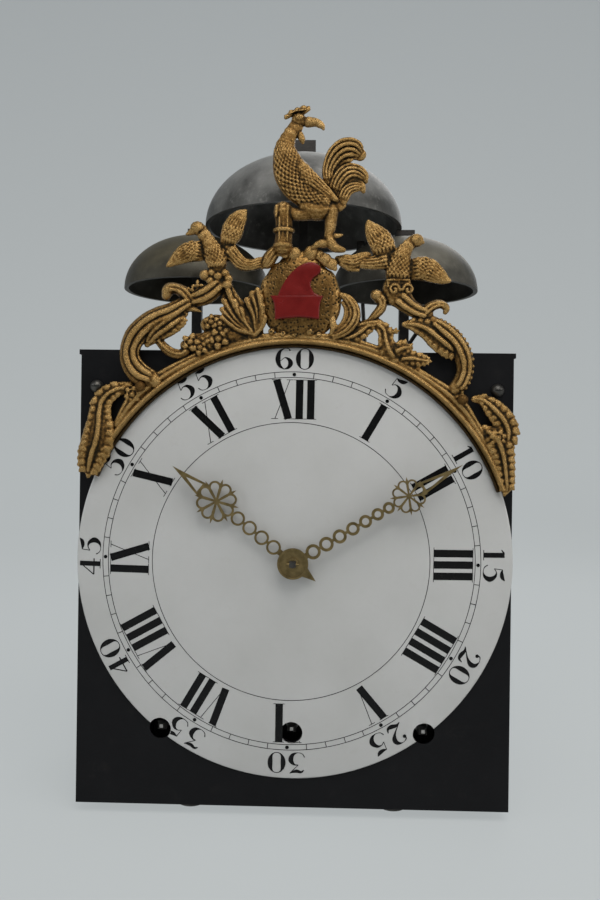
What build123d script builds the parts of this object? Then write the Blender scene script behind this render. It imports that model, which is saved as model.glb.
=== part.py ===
from build123d import *
import math
import os

# Comtoise wall clock: an iron cage with three trains side by side, an enamel dial under a cast
# brass pediment, and three bells on posts above the top plate.
# X is to the right seen from the front, Y to the back, Z up. The origin is the middle of the
# bottom plate's underside. All sizes are in millimetres.

# Cage
cage_width = 270.0
cage_depth = 140.0
cage_height = 278.0
bottom_thickness = 3.2
top_thickness = 3.0
top_overhang = 1.3
sheet_thickness = 1.2
pillar_side = 9.0
pillar_inset = 5.5
door_thickness = 1.0
door_gap = 1.0
door_pivot_radius = 1.5
door_knob_y = -48.0
door_knob_z = 142.0
running_gap = 0.05
free_gap = 0.3

# Bars that carry the pivots
bar_width = 16.0
bar_thickness = 3.0
front_bar_room = 18.0
rear_bar_room = 28.0
tenon_width = 10.0
bush_radius = 3.5
bush_seat_gap = 0.01
sheet_screw_drop = 20.2

# Trains: three columns at this spacing
train_spacing = 82.0
winding_z = 48.0
great_teeth = 72
great_module = 1.06
second_teeth = 64
second_module = 1.1
third_teeth = 60
third_module = 1.0
leaves = 8
pressure_angle = 25.0
wheel_addendum = 0.6
pinion_addendum = 1.0
root_clearance = 0.25
backlash = 0.12
arbor_radius = 2.4
pivot_radius = 1.5
wheel_thickness = 2.0
great_thickness = 3.0
pinion_length = 7.0
wheel_bore_gap = 0.01

# Barrels
barrel_radius = 22.0
barrel_front_gap = 12.0
barrel_back_gap = 24.0
flange_radius = 30.0
flange_thickness = 2.0
winding_radius = 4.0
winding_square = 5.6
winding_tip_depth = 2.2
ratchet_teeth = 24
ratchet_radius = 16.0
ratchet_depth = 2.0
ratchet_thickness = 2.5
click_lift = 0.45
great_gap = 18.0
second_gap = 11.0
third_gap = 26.0
pin_length = 4.0

# Escapement
escape_teeth = 30
escape_radius = 28.0
escape_tooth = 5.0
escape_y = -1.0
anchor_rise = 41.5
pallet_gap = 0.4
pallet_width = 1.4
crutch_length = 97.0
cock_gap = 20.0

# Motion work between the front bars and the front sheet
motion_teeth = 60
cannon_teeth = 16
minute_teeth = 48
relay_teeth = 12
motion_gap = 3.5
cannon_gap = 8.0
hour_gap = 14.0
centre_radius = 3.0
pipe_wall = 1.8

# Dial and hands
dial_overhang = 0.5
dial_z = 154.0
dial_thickness = 2.0
dial_rise = 8.0
winding_hole = 6.9
hand_thickness = 1.0
hour_hand_length = 94.0
hour_hand_angle = 308.0
hour_ring_reaches = (15.1, 24.4, 33.8, 43.0)
hour_ring_radius = 4.5
hour_ring_end = 4.4
hour_ring_wire = 1.3
hour_flower_reach = 59.7
hour_flower = 12.7
hour_tail = 17.8
minute_hand_length = 118.5
minute_hand_angle = 59.0
minute_ring_reaches = (14.3, 23.5, 32.8, 42.0, 50.8, 59.3, 67.0)
minute_ring_radius = 4.6
minute_ring_end = 3.6
minute_ring_wire = 1.8
minute_flower_reach = 81.0
minute_flower = 10.5
boss_radius = 9.0
spine_half = 0.9
collet_radius = 9.4
pin_reach = 4.4
hour_hand_clearance = 3.1
hand_spacing = 3.0

# Bells
big_bell_x = 1.7
big_bell_radius = 69.2
big_bell_height = 50.0
big_bell_rise = 94.8
small_bell_radius = 51.0
small_bell_height = 38.5
small_bell_x = 73.3
small_bell_rise = 50.5
bell_wall = 3.0
post_width = 6.8
big_post_width = 6.0
big_nut = (16.0, 11.0)
small_nut = (13.0, 4.6)
stem_end = 0.4

# Pediment casting, drawn for a dial of this radius and height of centre
drawn_radius = 135.5
drawn_centre_z = 154.0
rim_width = 6.0
rim_lap = 3.5
rim_left_angle = 68.0
rim_right_angle = 71.0
spacer_length = 3.0
casting_base = 4.0
casting_relief = 7.5
medallion = (2.0, 317.5)
medallion_width = 48.8
medallion_height = 54.4
crest_z = 345.0
rooster_offset = 7.3
tenon_radius = 1.5
rooster_feet = (-8.0, 22.0)

# Feet
foot_radius = 9.0
foot_height = 12.0
foot_x = 65.0
foot_y = 50.0

# Worked-out places
half_width = cage_width / 2
half_depth = cage_depth / 2
floor_z = bottom_thickness
ceiling_z = floor_z + cage_height
top_z = ceiling_z + top_thickness
sheet_y = -half_depth - sheet_thickness
front_bar_y = -half_depth + front_bar_room
rear_bar_y = half_depth - rear_bar_room
barrel_front_y = front_bar_y + barrel_front_gap
barrel_back_y = rear_bar_y - barrel_back_gap
winding_tip_y = sheet_y + winding_tip_depth
great_y = rear_bar_y - great_gap
second_y = rear_bar_y - second_gap
third_y = rear_bar_y - third_gap
second_z = winding_z + (great_teeth + leaves) * great_module / 2
third_z = second_z + (second_teeth + leaves) * second_module / 2
fourth_z = third_z + (third_teeth + leaves) * third_module / 2
anchor_z = fourth_z + anchor_rise
motion_module = (dial_z - second_z) / motion_teeth
cannon_module = 1.0
motion_distance = (cannon_teeth + minute_teeth) * cannon_module / 2
relay_module = 2 * motion_distance / (relay_teeth + minute_teeth)
motion_y = front_bar_y - motion_gap
cannon_y = front_bar_y - cannon_gap
hour_y = front_bar_y - hour_gap
dial_radius = half_width + dial_overhang
dial_edge_y = sheet_y - 0.1
dial_sphere = (dial_radius**2 + dial_rise**2) / (2 * dial_rise)
hour_hand_y = dial_edge_y - dial_thickness - dial_rise - hour_hand_clearance
minute_hand_y = hour_hand_y - hand_spacing
big_bell_z = top_z + big_bell_rise
small_bell_z = top_z + small_bell_rise
casting_back_y = sheet_y - spacer_length
rooster_mid_y = casting_back_y - rooster_offset
ornament_scale = dial_radius / drawn_radius
trains = {"quarter": -train_spacing, "going": 0.0, "strike": train_spacing}


def block(x0, x1, y0, y1, z0, z1):
    """A box between two corners."""
    centre = ((x0 + x1) / 2, (y0 + y1) / 2, (z0 + z1) / 2)
    return Pos(*centre) * Box(abs(x1 - x0), abs(y1 - y0), abs(z1 - z0))


def rod_y(x, z, radius, y0, y1):
    """A round bar along Y."""
    return Pos(x, (y0 + y1) / 2, z) * Rot(90, 0, 0) * Cylinder(radius, abs(y1 - y0))


def rod_z(x, y, radius, z0, z1):
    """A round bar along Z."""
    return Pos(x, y, (z0 + z1) / 2) * Cylinder(radius, abs(z1 - z0))


def rod_between(start, end, radius):
    """A round bar from one point to another."""
    a, b = Vector(*start), Vector(*end)
    plane = Plane(origin=a, z_dir=(b - a).normalized())
    return extrude(plane * Circle(radius), (b - a).length)


def upright(face, x, z, y0, y1):
    """A face drawn in X and Z, made solid from y1 forward to y0."""
    plane = Plane(origin=(x, y1, z), x_dir=(1, 0, 0), z_dir=(0, -1, 0))
    return extrude(plane * face, y1 - y0)


def outline(points):
    """A closed face through straight edges."""
    return make_face(Polyline(*points, close=True))


def polar(radius, degrees):
    """A point at an angle clockwise from twelve o'clock."""
    turn = math.radians(degrees)
    return (radius * math.sin(turn), radius * math.cos(turn))


# Gears

def flank_angle(radius, pitch_radius, half_tooth):
    """Half the angle that an involute tooth takes at a radius."""
    base = pitch_radius * math.cos(math.radians(pressure_angle))
    slope = math.acos(min(1.0, base / max(radius, base)))
    start = math.radians(pressure_angle)
    return half_tooth / pitch_radius + math.tan(start) - start - math.tan(slope) + slope


def gear_face(teeth, module, addendum, dedendum, first):
    """A toothed outline. One tooth points first degrees clockwise from the top."""
    pitch_radius = teeth * module / 2
    tip = pitch_radius + addendum * module
    root = pitch_radius - dedendum * module
    half_tooth = math.pi * module / 4 - backlash / 2
    radii = [root, pitch_radius - dedendum * module / 2, pitch_radius, tip]
    points = []
    for k in range(teeth):
        middle = first + 360 * k / teeth
        sides = [(r, math.degrees(flank_angle(r, pitch_radius, half_tooth))) for r in radii]
        points += [polar(r, middle - a) for r, a in sides]
        points += [polar(r, middle + a) for r, a in reversed(sides)]
    return outline(points)


def wheel_face(teeth, module, first, bore, spokes=True, mate_addendum=pinion_addendum):
    """A wheel with a rim, four crossings and a hub."""
    face = gear_face(teeth, module, wheel_addendum, mate_addendum + root_clearance, first)
    rim = teeth * module / 2 - 5.5 * module
    hub = max(8.0, bore + 4)
    if spokes and rim > hub + 4:
        windows = Circle(rim) - Circle(hub)
        windows -= Rectangle(5, 3 * rim) + Rectangle(3 * rim, 5)
        face = face - windows
    return face - Circle(bore)


def pinion_face(teeth, module, first, mate_addendum=wheel_addendum):
    """A pinion outline whose first leaf points first degrees from the top."""
    return gear_face(teeth, module, pinion_addendum, mate_addendum + root_clearance, first)


def pinion_arbor(x, z, module, pinion_y, front_y, back_y):
    """An arbor with its pivots and a pinion whose lower side meshes with the wheel below."""
    gap_down = 180 + 180 / leaves
    pinion = upright(pinion_face(leaves, module, gap_down), x, z, pinion_y, pinion_y + pinion_length)
    front_face = front_bar_y + bar_thickness
    shaft = rod_y(x, z, arbor_radius, front_face + free_gap, rear_bar_y - free_gap)
    pivots = rod_y(x, z, pivot_radius, front_y, back_y)
    return shaft + pinion + pivots


# Cage

def line_slots(height0, height1):
    """The slots in the bottom plate for the three weight lines and the pendulum."""
    slots = [block(x - 15, x + 15, -17, -5, height0, height1) for x in trains.values()]
    slots.append(block(-20, 20, 50, 64, height0, height1))
    return slots


def pillar_places():
    x = half_width - pillar_inset - pillar_side / 2
    y = half_depth - pillar_side / 2
    return [(sx * x, sy * y) for sx in (-1, 1) for sy in (-1, 1)]


def hinge_places():
    x = half_width - door_gap - door_thickness - door_pivot_radius + 0.5
    return [(-x, half_depth - 4), (x, half_depth - 4)]


hammer_posts = {"left": (-112.0, 52.0), "right": (70.0, 52.0), "big": (50.0, 52.0)}
hammer_radius = 2.4


def plate(z0, z1, grow):
    """A cage plate with the holes for pillars, bars, door pivots and hammer arbors."""
    slab = block(-half_width - grow, half_width + grow, sheet_y, -sheet_y + grow, z0, z1)
    for x, y in pillar_places():
        slab -= rod_z(x, y, 2.5, z0, z1)
    for x in trains.values():
        for y in (front_bar_y, rear_bar_y):
            slab -= block(x - tenon_width / 2, x + tenon_width / 2, y, y + bar_thickness, z0, z1)
    for x, y in hinge_places():
        slab -= rod_z(x, y, door_pivot_radius + running_gap, z0, z1)
    for x, y in hammer_posts.values():
        slab -= rod_z(x, y, hammer_radius + running_gap, z0, z1)
    return slab


def bottom_plate():
    slab = plate(0, bottom_thickness, 0)
    for slot in line_slots(0, bottom_thickness):
        slab -= slot
    for sx in (-1, 1):
        for sy in (-1, 1):
            slab -= rod_z(sx * foot_x, sy * foot_y, 2.5, 0, bottom_thickness)
    return slab


def bell_places():
    """Name, X, mouth height, radius, height, post width and nut of each bell."""
    return [
        ("big", big_bell_x, big_bell_z, big_bell_radius, big_bell_height, big_post_width, big_nut),
        ("left", -small_bell_x, small_bell_z, small_bell_radius, small_bell_height, post_width, small_nut),
        ("right", small_bell_x, small_bell_z, small_bell_radius, small_bell_height, post_width, small_nut),
    ]


def top_plate():
    slab = plate(ceiling_z, top_z, top_overhang)
    for name, x, mouth, radius, height, width, nut in bell_places():
        slab -= rod_z(x, 0, width / 2 - 0.5, ceiling_z, top_z)
    return slab


def pillars():
    group = []
    for x, y in pillar_places():
        half = pillar_side / 2
        bar = block(x - half, x + half, y - half, y + half, floor_z, ceiling_z)
        group.append(bar + rod_z(x, y, 2.5, 0, top_z))
    return Compound(group)


def bar(x, y, pivots):
    """A flat bar between the plates, with a tenon at each end and its bush seats."""
    half = bar_width / 2
    back = y + bar_thickness
    body = block(x - half, x + half, y, back, floor_z, ceiling_z)
    body += block(x - tenon_width / 2, x + tenon_width / 2, y, back, 0, top_z)
    for z, radius in pivots:
        body -= rod_y(x, z, radius, y, back)
    return body


def front_pivots(name):
    seats = [(winding_z, winding_radius + running_gap)]
    if name == "going":
        seats.append((second_z, bush_radius + 1))
        seats += [(z, bush_radius) for z in (third_z, fourth_z, anchor_z)]
        seats.append((dial_z, bush_radius + 1))
    else:
        seats += [(z, bush_radius) for z in (second_z, third_z, fourth_z)]
    return seats


def rear_pivots(name):
    seats = [(winding_z, winding_radius + running_gap)]
    seats += [(z, bush_radius) for z in (second_z, third_z, fourth_z)]
    if name == "going":
        seats.append((anchor_z, bush_radius))
    return seats


def bushes():
    """Brass bushes pressed into the bars."""
    group = []
    for name, x in trains.items():
        for y, seats in ((front_bar_y, front_pivots(name)), (rear_bar_y, rear_pivots(name))):
            for z, radius in seats[1:]:
                bore = pivot_radius + running_gap
                if radius > bush_radius:
                    bore = arbor_radius + running_gap if z == second_z else centre_radius + running_gap
                ring = rod_y(x, z, radius - bush_seat_gap, y, y + bar_thickness)
                group.append(ring - rod_y(x, z, bore, y, y + bar_thickness))
    return Compound(group)


def front_sheet():
    sheet = block(-half_width, half_width, sheet_y, -half_depth, floor_z, ceiling_z)
    for x in trains.values():
        sheet -= rod_y(x, winding_z, winding_hole, sheet_y, -half_depth)
    sheet -= rod_y(0, dial_z, 14, sheet_y, -half_depth)
    for x, z in sheet_screw_places():
        sheet -= rod_y(x, z, 2.0, sheet_y, -half_depth)
    for x, z in pediment_screw_places():
        sheet -= rod_y(x, z, 2.0, sheet_y, -half_depth)
    sheet -= rod_y(0, dial_z + motion_distance, 2.0, sheet_y, -half_depth)
    return sheet


def back_plate():
    half = half_width - pillar_inset
    return block(-half, half, half_depth, half_depth + sheet_thickness, floor_z, ceiling_z)


def sheet_screw_places():
    x = half_width - pillar_inset - pillar_side / 2
    z = ceiling_z - sheet_screw_drop
    return [(-x, z), (x, z)]


def sheet_screws():
    """Round-head screws that hold the front sheet to the pillars."""
    group = []
    for x, z in sheet_screw_places():
        dome = Pos(x, sheet_y, z) * Rot(90, 0, 0) * (Sphere(4.2) & Pos(0, 0, 2.5) * Box(10, 10, 5))
        slot = block(x - 5, x + 5, sheet_y - 4.4, sheet_y - 3.2, z - 0.5, z + 0.5)
        shank = rod_y(x, z, 2.0, sheet_y, -half_depth)
        group.append(dome - slot + shank)
    return Compound(group)


def feet():
    """Turned feet with a flat end, riveted into the bottom plate."""
    profile = Polyline((0, bottom_thickness), (2.5, bottom_thickness), (2.5, 0), (foot_radius, 0))
    side = Line((foot_radius, 0), (foot_radius, -foot_height * 0.35))
    dome = ThreePointArc(
        (foot_radius, -foot_height * 0.35),
        (foot_radius * 0.8, -foot_height * 0.78),
        (foot_radius * 0.35, -foot_height),
    )
    close = Polyline((foot_radius * 0.35, -foot_height), (0, -foot_height), (0, bottom_thickness))
    face = make_face(Plane.XZ * (profile + side + dome + close))
    foot = revolve(face, Axis.Z)
    spots = [(sx * foot_x, sy * foot_y) for sx in (-1, 1) for sy in (-1, 1)]
    return Compound([Pos(x, y, 0) * foot for x, y in spots])


# Doors

def door(side):
    """A side door of sheet iron with its pivot rod and a turned knob."""
    x, y = hinge_places()[0 if side < 0 else 1]
    outer = side * (half_width - door_gap)
    inner = outer - side * door_thickness
    top = ceiling_z - door_gap
    sheet = block(min(inner, outer), max(inner, outer), -half_depth + door_gap, y, floor_z + door_gap, top)
    rod = rod_z(x, y, door_pivot_radius, 0.2, top_z - 0.2)
    return sheet + rod


def door_knob(side):
    """A small turned knob at the front of the door."""
    outer = half_width - door_gap
    neck = Pos(side * (outer + 1), door_knob_y, door_knob_z) * Rot(0, 90, 0) * Cylinder(1.6, 2)
    head = Pos(side * (outer + 3.2), door_knob_y, door_knob_z) * Rot(0, 90, 0) * Cylinder(3.6, 2.4)
    return neck + head


# Trains

def winding_arbor(x):
    """The arbor with its square for the key, the drum and the flanges."""
    tail = rod_y(x, winding_z, winding_radius, front_bar_y - 6, rear_bar_y + bar_thickness - 0.5)
    half = winding_square / 2
    square = block(x - half, x + half, winding_tip_y + 2.5, front_bar_y - 6, winding_z - half, winding_z + half)
    nose_plane = Plane(origin=(x, winding_tip_y + 2.5, winding_z), x_dir=(1, 0, 0), z_dir=(0, -1, 0))
    nose = extrude(nose_plane * Rectangle(winding_square, winding_square), 2.5, taper=35)
    drum = rod_y(x, winding_z, barrel_radius, barrel_front_y, barrel_back_y)
    front = rod_y(x, winding_z, flange_radius, barrel_front_y - flange_thickness, barrel_front_y)
    back = rod_y(x, winding_z, flange_radius, barrel_back_y - flange_thickness, barrel_back_y)
    return tail + square + nose + drum + front + back


def ratchet(x):
    """Saw-tooth ratchet on the back of the drum."""
    points = []
    for k in range(ratchet_teeth):
        angle = 360 * k / ratchet_teeth
        points.append(polar(ratchet_radius, angle))
        points.append(polar(ratchet_radius - ratchet_depth, angle + 0.8))
    face = outline(points) - Circle(winding_radius + wheel_bore_gap)
    return upright(face, x, winding_z, barrel_back_y, barrel_back_y + ratchet_thickness)


def great_wheel(x):
    face = wheel_face(great_teeth, great_module, 0, winding_radius + running_gap)
    return upright(face, x, winding_z, great_y, great_y + great_thickness)


def click(x):
    """The click and its stud on the front of the great wheel."""
    front = barrel_back_y + 0.3
    back = great_y
    pitch = 360 / ratchet_teeth
    tip = polar(ratchet_radius - 0.6 * ratchet_depth, 1.65 - pitch)
    over = ratchet_radius + click_lift
    stud = polar(ratchet_radius + 8.5, 22.0)
    body = outline([
        (tip[0], tip[1] + 0.4),
        (0, over),
        (stud[0] + 0.7, stud[1] - 3.2),
        (stud[0] + 2.8, stud[1] + 0.8),
        (stud[0] - 1.2, stud[1] + 3.1),
        (tip[0] + 0.6, over + 0.3),
    ])
    lever = upright(body, x, winding_z, front, front + ratchet_thickness)
    return lever + rod_y(x + stud[0], winding_z + stud[1], 1.8, front, back)


def second_arbor(x):
    front_face = front_bar_y + bar_thickness
    front_end = front_bar_y + 0.5
    arbor = pinion_arbor(x, second_z, great_module, great_y - 2, front_end, rear_bar_y + bar_thickness - 0.3)
    if x == trains["going"]:
        arbor += rod_y(x, second_z, arbor_radius, motion_y - 1.5, front_face + 1)
    return arbor


def second_wheel(x):
    face = wheel_face(second_teeth, second_module, 0, arbor_radius + wheel_bore_gap)
    return upright(face, x, second_z, second_y, second_y + wheel_thickness)


def lifting_pins(x):
    """The pins on the back of a pin wheel that lift the hammer tails."""
    pins = []
    for k in range(8):
        px, pz = polar(28.5, 22.5 + 45 * k)
        back = second_y + wheel_thickness
        pins.append(rod_y(x + px, second_z + pz, 1.2, back, back + pin_length))
    return pins


def third_arbor(x):
    return pinion_arbor(
        x, third_z, second_module, second_y - 2.5, front_bar_y + 0.5, rear_bar_y + bar_thickness - 0.3
    )


def third_wheel(x):
    face = wheel_face(third_teeth, third_module, 0, arbor_radius + wheel_bore_gap)
    return upright(face, x, third_z, third_y, third_y + wheel_thickness)


def fourth_arbor(x):
    return pinion_arbor(
        x, fourth_z, third_module, third_y - 2.5, front_bar_y + 0.5, rear_bar_y + bar_thickness - 0.3
    )


def fly(x):
    """The air brake of a striking train: two thin vanes on a collar."""
    ring = rod_y(x, fourth_z, 5, -20, -4) - rod_y(x, fourth_z, arbor_radius + wheel_bore_gap, -20, -4)
    vane = block(x - 24, x + 24, -18, -6, fourth_z - 0.5, fourth_z + 0.5)
    return ring + (vane - rod_y(x, fourth_z, 4.9, -20, -4))


def escape_wheel():
    """A thirty-tooth escape wheel with pointed teeth and four crossings."""
    points = []
    pitch = 360 / escape_teeth
    root = escape_radius - escape_tooth
    for k in range(escape_teeth):
        angle = k * pitch
        points.append(polar(root, angle - 0.30 * pitch))
        points.append(polar(escape_radius, angle - 0.05 * pitch))
        points.append(polar(escape_radius, angle + 0.05 * pitch))
        points.append(polar(root, angle + 0.24 * pitch))
    face = outline(points)
    windows = Circle(root - 3) - Circle(8) - Rectangle(4, 60) - Rectangle(60, 4)
    face = face - windows - Circle(arbor_radius + wheel_bore_gap)
    return upright(face, 0, fourth_z, escape_y, escape_y + wheel_thickness)


def anchor():
    """Recoil anchor: two curved arms from the hub to the pallets."""
    reach = escape_radius + pallet_gap
    side_x, side_z = polar(reach, 45)
    drop = side_z - anchor_rise
    faces = Sketch() + Circle(6)
    for side in (-1, 1):
        pallet_x = side * side_x
        outer = side * (side_x + 4.2)
        arm = Polyline(
            (side * 4.0, 4.0),
            (outer, drop + 9.0),
            (outer - side * 2.0, drop + 2.0),
            (pallet_x + side * pallet_width / 2, drop + pallet_width / 2 + 0.4),
            (pallet_x - side * pallet_width / 2, drop + pallet_width / 2),
            (pallet_x - side * 1.6, drop + 7.0),
            (side * 2.0, -5.0),
            close=True,
        )
        faces += make_face(arm)
    face = faces - Circle(arbor_radius + wheel_bore_gap)
    return upright(face, 0, anchor_z, escape_y, escape_y + wheel_thickness)


def anchor_arbor():
    front_face = front_bar_y + bar_thickness
    shaft = rod_y(0, anchor_z, arbor_radius, front_face + free_gap, rear_bar_y - free_gap)
    return shaft + rod_y(0, anchor_z, pivot_radius, front_bar_y + 0.5, rear_bar_y + 14)


def crutch():
    """The crutch on the back end of the anchor arbor, with a fork for the pendulum rod."""
    back = rear_bar_y + 10
    low = anchor_z - crutch_length
    strip = block(-2.5, 2.5, back, back + 2, low, anchor_z + 5)
    strip -= rod_y(0, anchor_z, pivot_radius + wheel_bore_gap, back, back + 2)
    fork = block(-6, 6, back + 2, back + 8, low, low + 3)
    return strip + fork - block(-2.2, 2.2, back + 3.5, back + 8, low, low + 3)


def suspension_cock():
    """A bracket on the rear bar that carries the pendulum's suspension."""
    back = rear_bar_y + bar_thickness
    low = anchor_z + cock_gap
    high = ceiling_z - cock_gap
    middle = (low + high) / 2
    foot = block(-8, 8, back, back + 3, low, high)
    arm = block(-8, 8, back + 3, back + 14, middle - 2, middle + 2)
    slit = block(-0.5, 0.5, back + 6, back + 14, middle - 2, middle + 2)
    return foot + arm - slit


# Motion work

def drive_wheel():
    face = wheel_face(motion_teeth, motion_module, 0, arbor_radius + wheel_bore_gap, True, wheel_addendum)
    return upright(face, 0, second_z, motion_y, motion_y + wheel_thickness)


def centre_wheel():
    half_step = 180 / motion_teeth
    face = wheel_face(
        motion_teeth, motion_module, 180 + half_step, centre_radius + wheel_bore_gap, True, wheel_addendum
    )
    return upright(face, 0, dial_z, motion_y, motion_y + wheel_thickness)


def centre_arbor():
    """The minute arbor with its pinion, a square for the hand and a hole for the pin."""
    shaft = rod_y(0, dial_z, centre_radius, minute_hand_y + 1.5, front_bar_y + bar_thickness)
    collar = rod_y(0, dial_z, centre_radius + 2, front_bar_y - 1.2, front_bar_y - 0.3)
    face = gear_face(cannon_teeth, cannon_module, wheel_addendum, wheel_addendum + root_clearance, 0)
    pinion = upright(face, 0, dial_z, cannon_y, cannon_y + 3)
    square = block(-2, 2, minute_hand_y - 3.5, minute_hand_y + 1.5, dial_z - 2, dial_z + 2)
    square += rod_y(0, dial_z, 2, minute_hand_y - 6.5, minute_hand_y - 3.5)
    hole = rod_y(0, 0, 0.8, -6, 6)
    hole = Pos(0, minute_hand_y - pin_reach, dial_z) * Rot(0, 0, 90) * hole
    return shaft + collar + pinion + square - hole


def relay():
    """The minute wheel and its pinion on the stud above the centre."""
    z = dial_z + motion_distance
    half_step = 180 / minute_teeth
    gear = wheel_face(minute_teeth, cannon_module, 180 + half_step, 2 + running_gap, True, wheel_addendum)
    wheel = upright(gear, 0, z, cannon_y + 0.5, cannon_y + 2.5)
    leaf = pinion_face(relay_teeth, relay_module, 180) - Circle(2 + running_gap)
    pinion = upright(leaf, 0, z, hour_y - 0.5, cannon_y + 0.5)
    return wheel + pinion


def relay_stud():
    z = dial_z + motion_distance
    stud = rod_y(0, z, 2, sheet_y, cannon_y + 4)
    flange = rod_y(0, z, 4.5, -half_depth, -half_depth + 1.5)
    return stud + flange


def hour_wheel():
    """The hour wheel with the pipe that carries the hour hand."""
    half_step = 180 / minute_teeth
    bore = centre_radius + running_gap
    gear = wheel_face(minute_teeth, relay_module, half_step, bore)
    wheel = upright(gear, 0, dial_z, hour_y, hour_y + wheel_thickness)
    pipe = rod_y(0, dial_z, bore + pipe_wall, hour_hand_y - 1.2, hour_y + wheel_thickness)
    return wheel + pipe - rod_y(0, dial_z, bore, hour_hand_y - 2, hour_y + wheel_thickness + 1)


def snail():
    """The stepped cam on the hour wheel that sets the number of blows."""
    points = []
    for k in range(12):
        radius = 21 - 0.9 * k
        points += [polar(radius, 30 * k + 0.1), polar(radius, 30 * k + 15), polar(radius, 30 * k + 29.9)]
    bore = centre_radius + running_gap + pipe_wall + wheel_bore_gap
    return upright(outline(points) - Circle(bore), 0, dial_z, hour_y - 1.6, hour_y)


# Hands

def flower(distance, radius):
    """Eight round petals with thorns between them, and the tear-shaped windows that pierce them."""
    middle = Pos(0, distance)
    petals = middle * Circle(0.62 * radius)
    windows = Sketch()
    side = 0.20 * radius
    for k in range(8):
        turn = middle * Rot(0, 0, 45 * k)
        petals += turn * Pos(0, 0.68 * radius) * Circle(0.31 * radius)
        windows += turn * Pos(0, 0.69 * radius) * Circle(side)
        windows += turn * outline([(-side, 0.68 * radius), (0, 0.14 * radius), (side, 0.68 * radius)])
        between = middle * Rot(0, 0, 45 * k + 22.5)
        thorn = outline([(-0.11 * radius, 0.7 * radius), (0, 1.1 * radius), (0.11 * radius, 0.7 * radius)])
        petals += between * thorn
    return petals, windows


def hand_face(length, reaches, radii, wire, flower_reach, flower_radius, tail):
    """A hand that points to twelve o'clock: tail, boss, chain of rings, flower and split point."""
    face = Sketch() + Circle(boss_radius)
    face += outline([(-spine_half, 0), (-spine_half, flower_reach), (spine_half, flower_reach), (spine_half, 0)])
    neck_half = 2 * spine_half
    face += outline([(-neck_half, 0), (-neck_half, reaches[0]), (neck_half, reaches[0]), (neck_half, 0)])
    if tail:
        face += outline([(-boss_radius * 0.5, -5), (0, -tail), (boss_radius * 0.5, -5)])
    holes = Sketch()
    for k, reach in enumerate(reaches):
        radius = radii[0] + (radii[1] - radii[0]) * k / (len(reaches) - 1)
        face += Pos(0, reach) * Circle(radius)
        holes += Pos(0, reach) * Circle(radius - wire)
    petals, windows = flower(flower_reach, flower_radius)
    start = flower_reach + 0.8 * flower_radius
    spread = 0.38 * flower_radius
    face += petals + outline([(-spread, start), (0, length), (spread, start)])
    split = flower_reach + flower_radius + 0.4
    point = length - 0.11 * length
    inner = (spread - 1.1) * (point - split) / (point - start)
    holes += windows + outline([(-inner, split), (0, point), (inner, split)])
    return face - holes


def turned(face, degrees):
    return Rot(0, 0, -degrees) * face


def hour_hand():
    bore = centre_radius + running_gap + pipe_wall
    radii = (hour_ring_radius, hour_ring_end)
    face = hand_face(
        hour_hand_length, hour_ring_reaches, radii, hour_ring_wire, hour_flower_reach, hour_flower, hour_tail
    )
    flat = turned(face, hour_hand_angle) - Circle(bore + wheel_bore_gap)
    return upright(flat, 0, dial_z, hour_hand_y - hand_thickness, hour_hand_y)


def minute_hand():
    radii = (minute_ring_radius, minute_ring_end)
    face = hand_face(
        minute_hand_length, minute_ring_reaches, radii, minute_ring_wire, minute_flower_reach, minute_flower, 0
    )
    flat = turned(face, minute_hand_angle) - Rectangle(4.02, 4.02)
    return upright(flat, 0, dial_z, minute_hand_y - hand_thickness, minute_hand_y)


def collet():
    """The dished collet and the taper pin across the arbor's end."""
    back = minute_hand_y - hand_thickness
    dish = rod_y(0, dial_z, collet_radius, back - 1.6, back)
    dish -= rod_y(0, dial_z, collet_radius - 1.2, back - 1.6, back - 0.6)
    dish += rod_y(0, dial_z, 3.6, back - 2.4, back)
    dish -= block(-2.01, 2.01, back - 4, back + 1, dial_z - 2.01, dial_z + 2.01)
    pin = Pos(0, minute_hand_y - pin_reach, dial_z) * Rot(0, 90, 0) * Cylinder(0.7, 7.5)
    return Compound([dish, pin])


# Dial

def dial():
    """A domed enamel disc with three winding holes and the centre hole."""
    front = dial_edge_y - dial_thickness
    apex = front - dial_rise
    outer = Pos(0, apex + dial_sphere, dial_z) * Sphere(dial_sphere)
    inner = Pos(0, apex + dial_sphere + dial_thickness, dial_z) * Sphere(dial_sphere)
    disc = rod_y(0, dial_z, dial_radius, apex - 1, dial_edge_y)
    shell = disc & outer
    shell -= inner & rod_y(0, dial_z, dial_radius - 1.5, apex - 1, dial_edge_y)
    for x in trains.values():
        shell -= rod_y(x, winding_z, winding_hole, apex - 2, dial_edge_y + 1)
    return shell - rod_y(0, dial_z, 6.0, apex - 2, dial_edge_y + 1)


# Bells

def bell_shell(radius, height):
    """Half of an ellipse turned about the axis, open below, with a hole in its crown."""
    inner_radius = radius - bell_wall
    inner_height = height - bell_wall
    outer_arc = EllipticalCenterArc((0, 0), radius, height, start_angle=0, arc_size=90)
    inner_arc = EllipticalCenterArc((0, 0), inner_radius, inner_height, start_angle=0, arc_size=90)
    lip = Line((inner_radius, 0), (radius, 0))
    crown = Line((0, height), (0, inner_height))
    face = make_face(Plane.XZ * (outer_arc + inner_arc + lip + crown))
    return revolve(face, Axis.Z)


def bell(x, mouth, radius, height, width):
    stem = width / 2 - 0.5
    return Pos(x, 0, mouth) * bell_shell(radius, height) - rod_z(x, 0, stem, mouth, mouth + height + 1)


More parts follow.
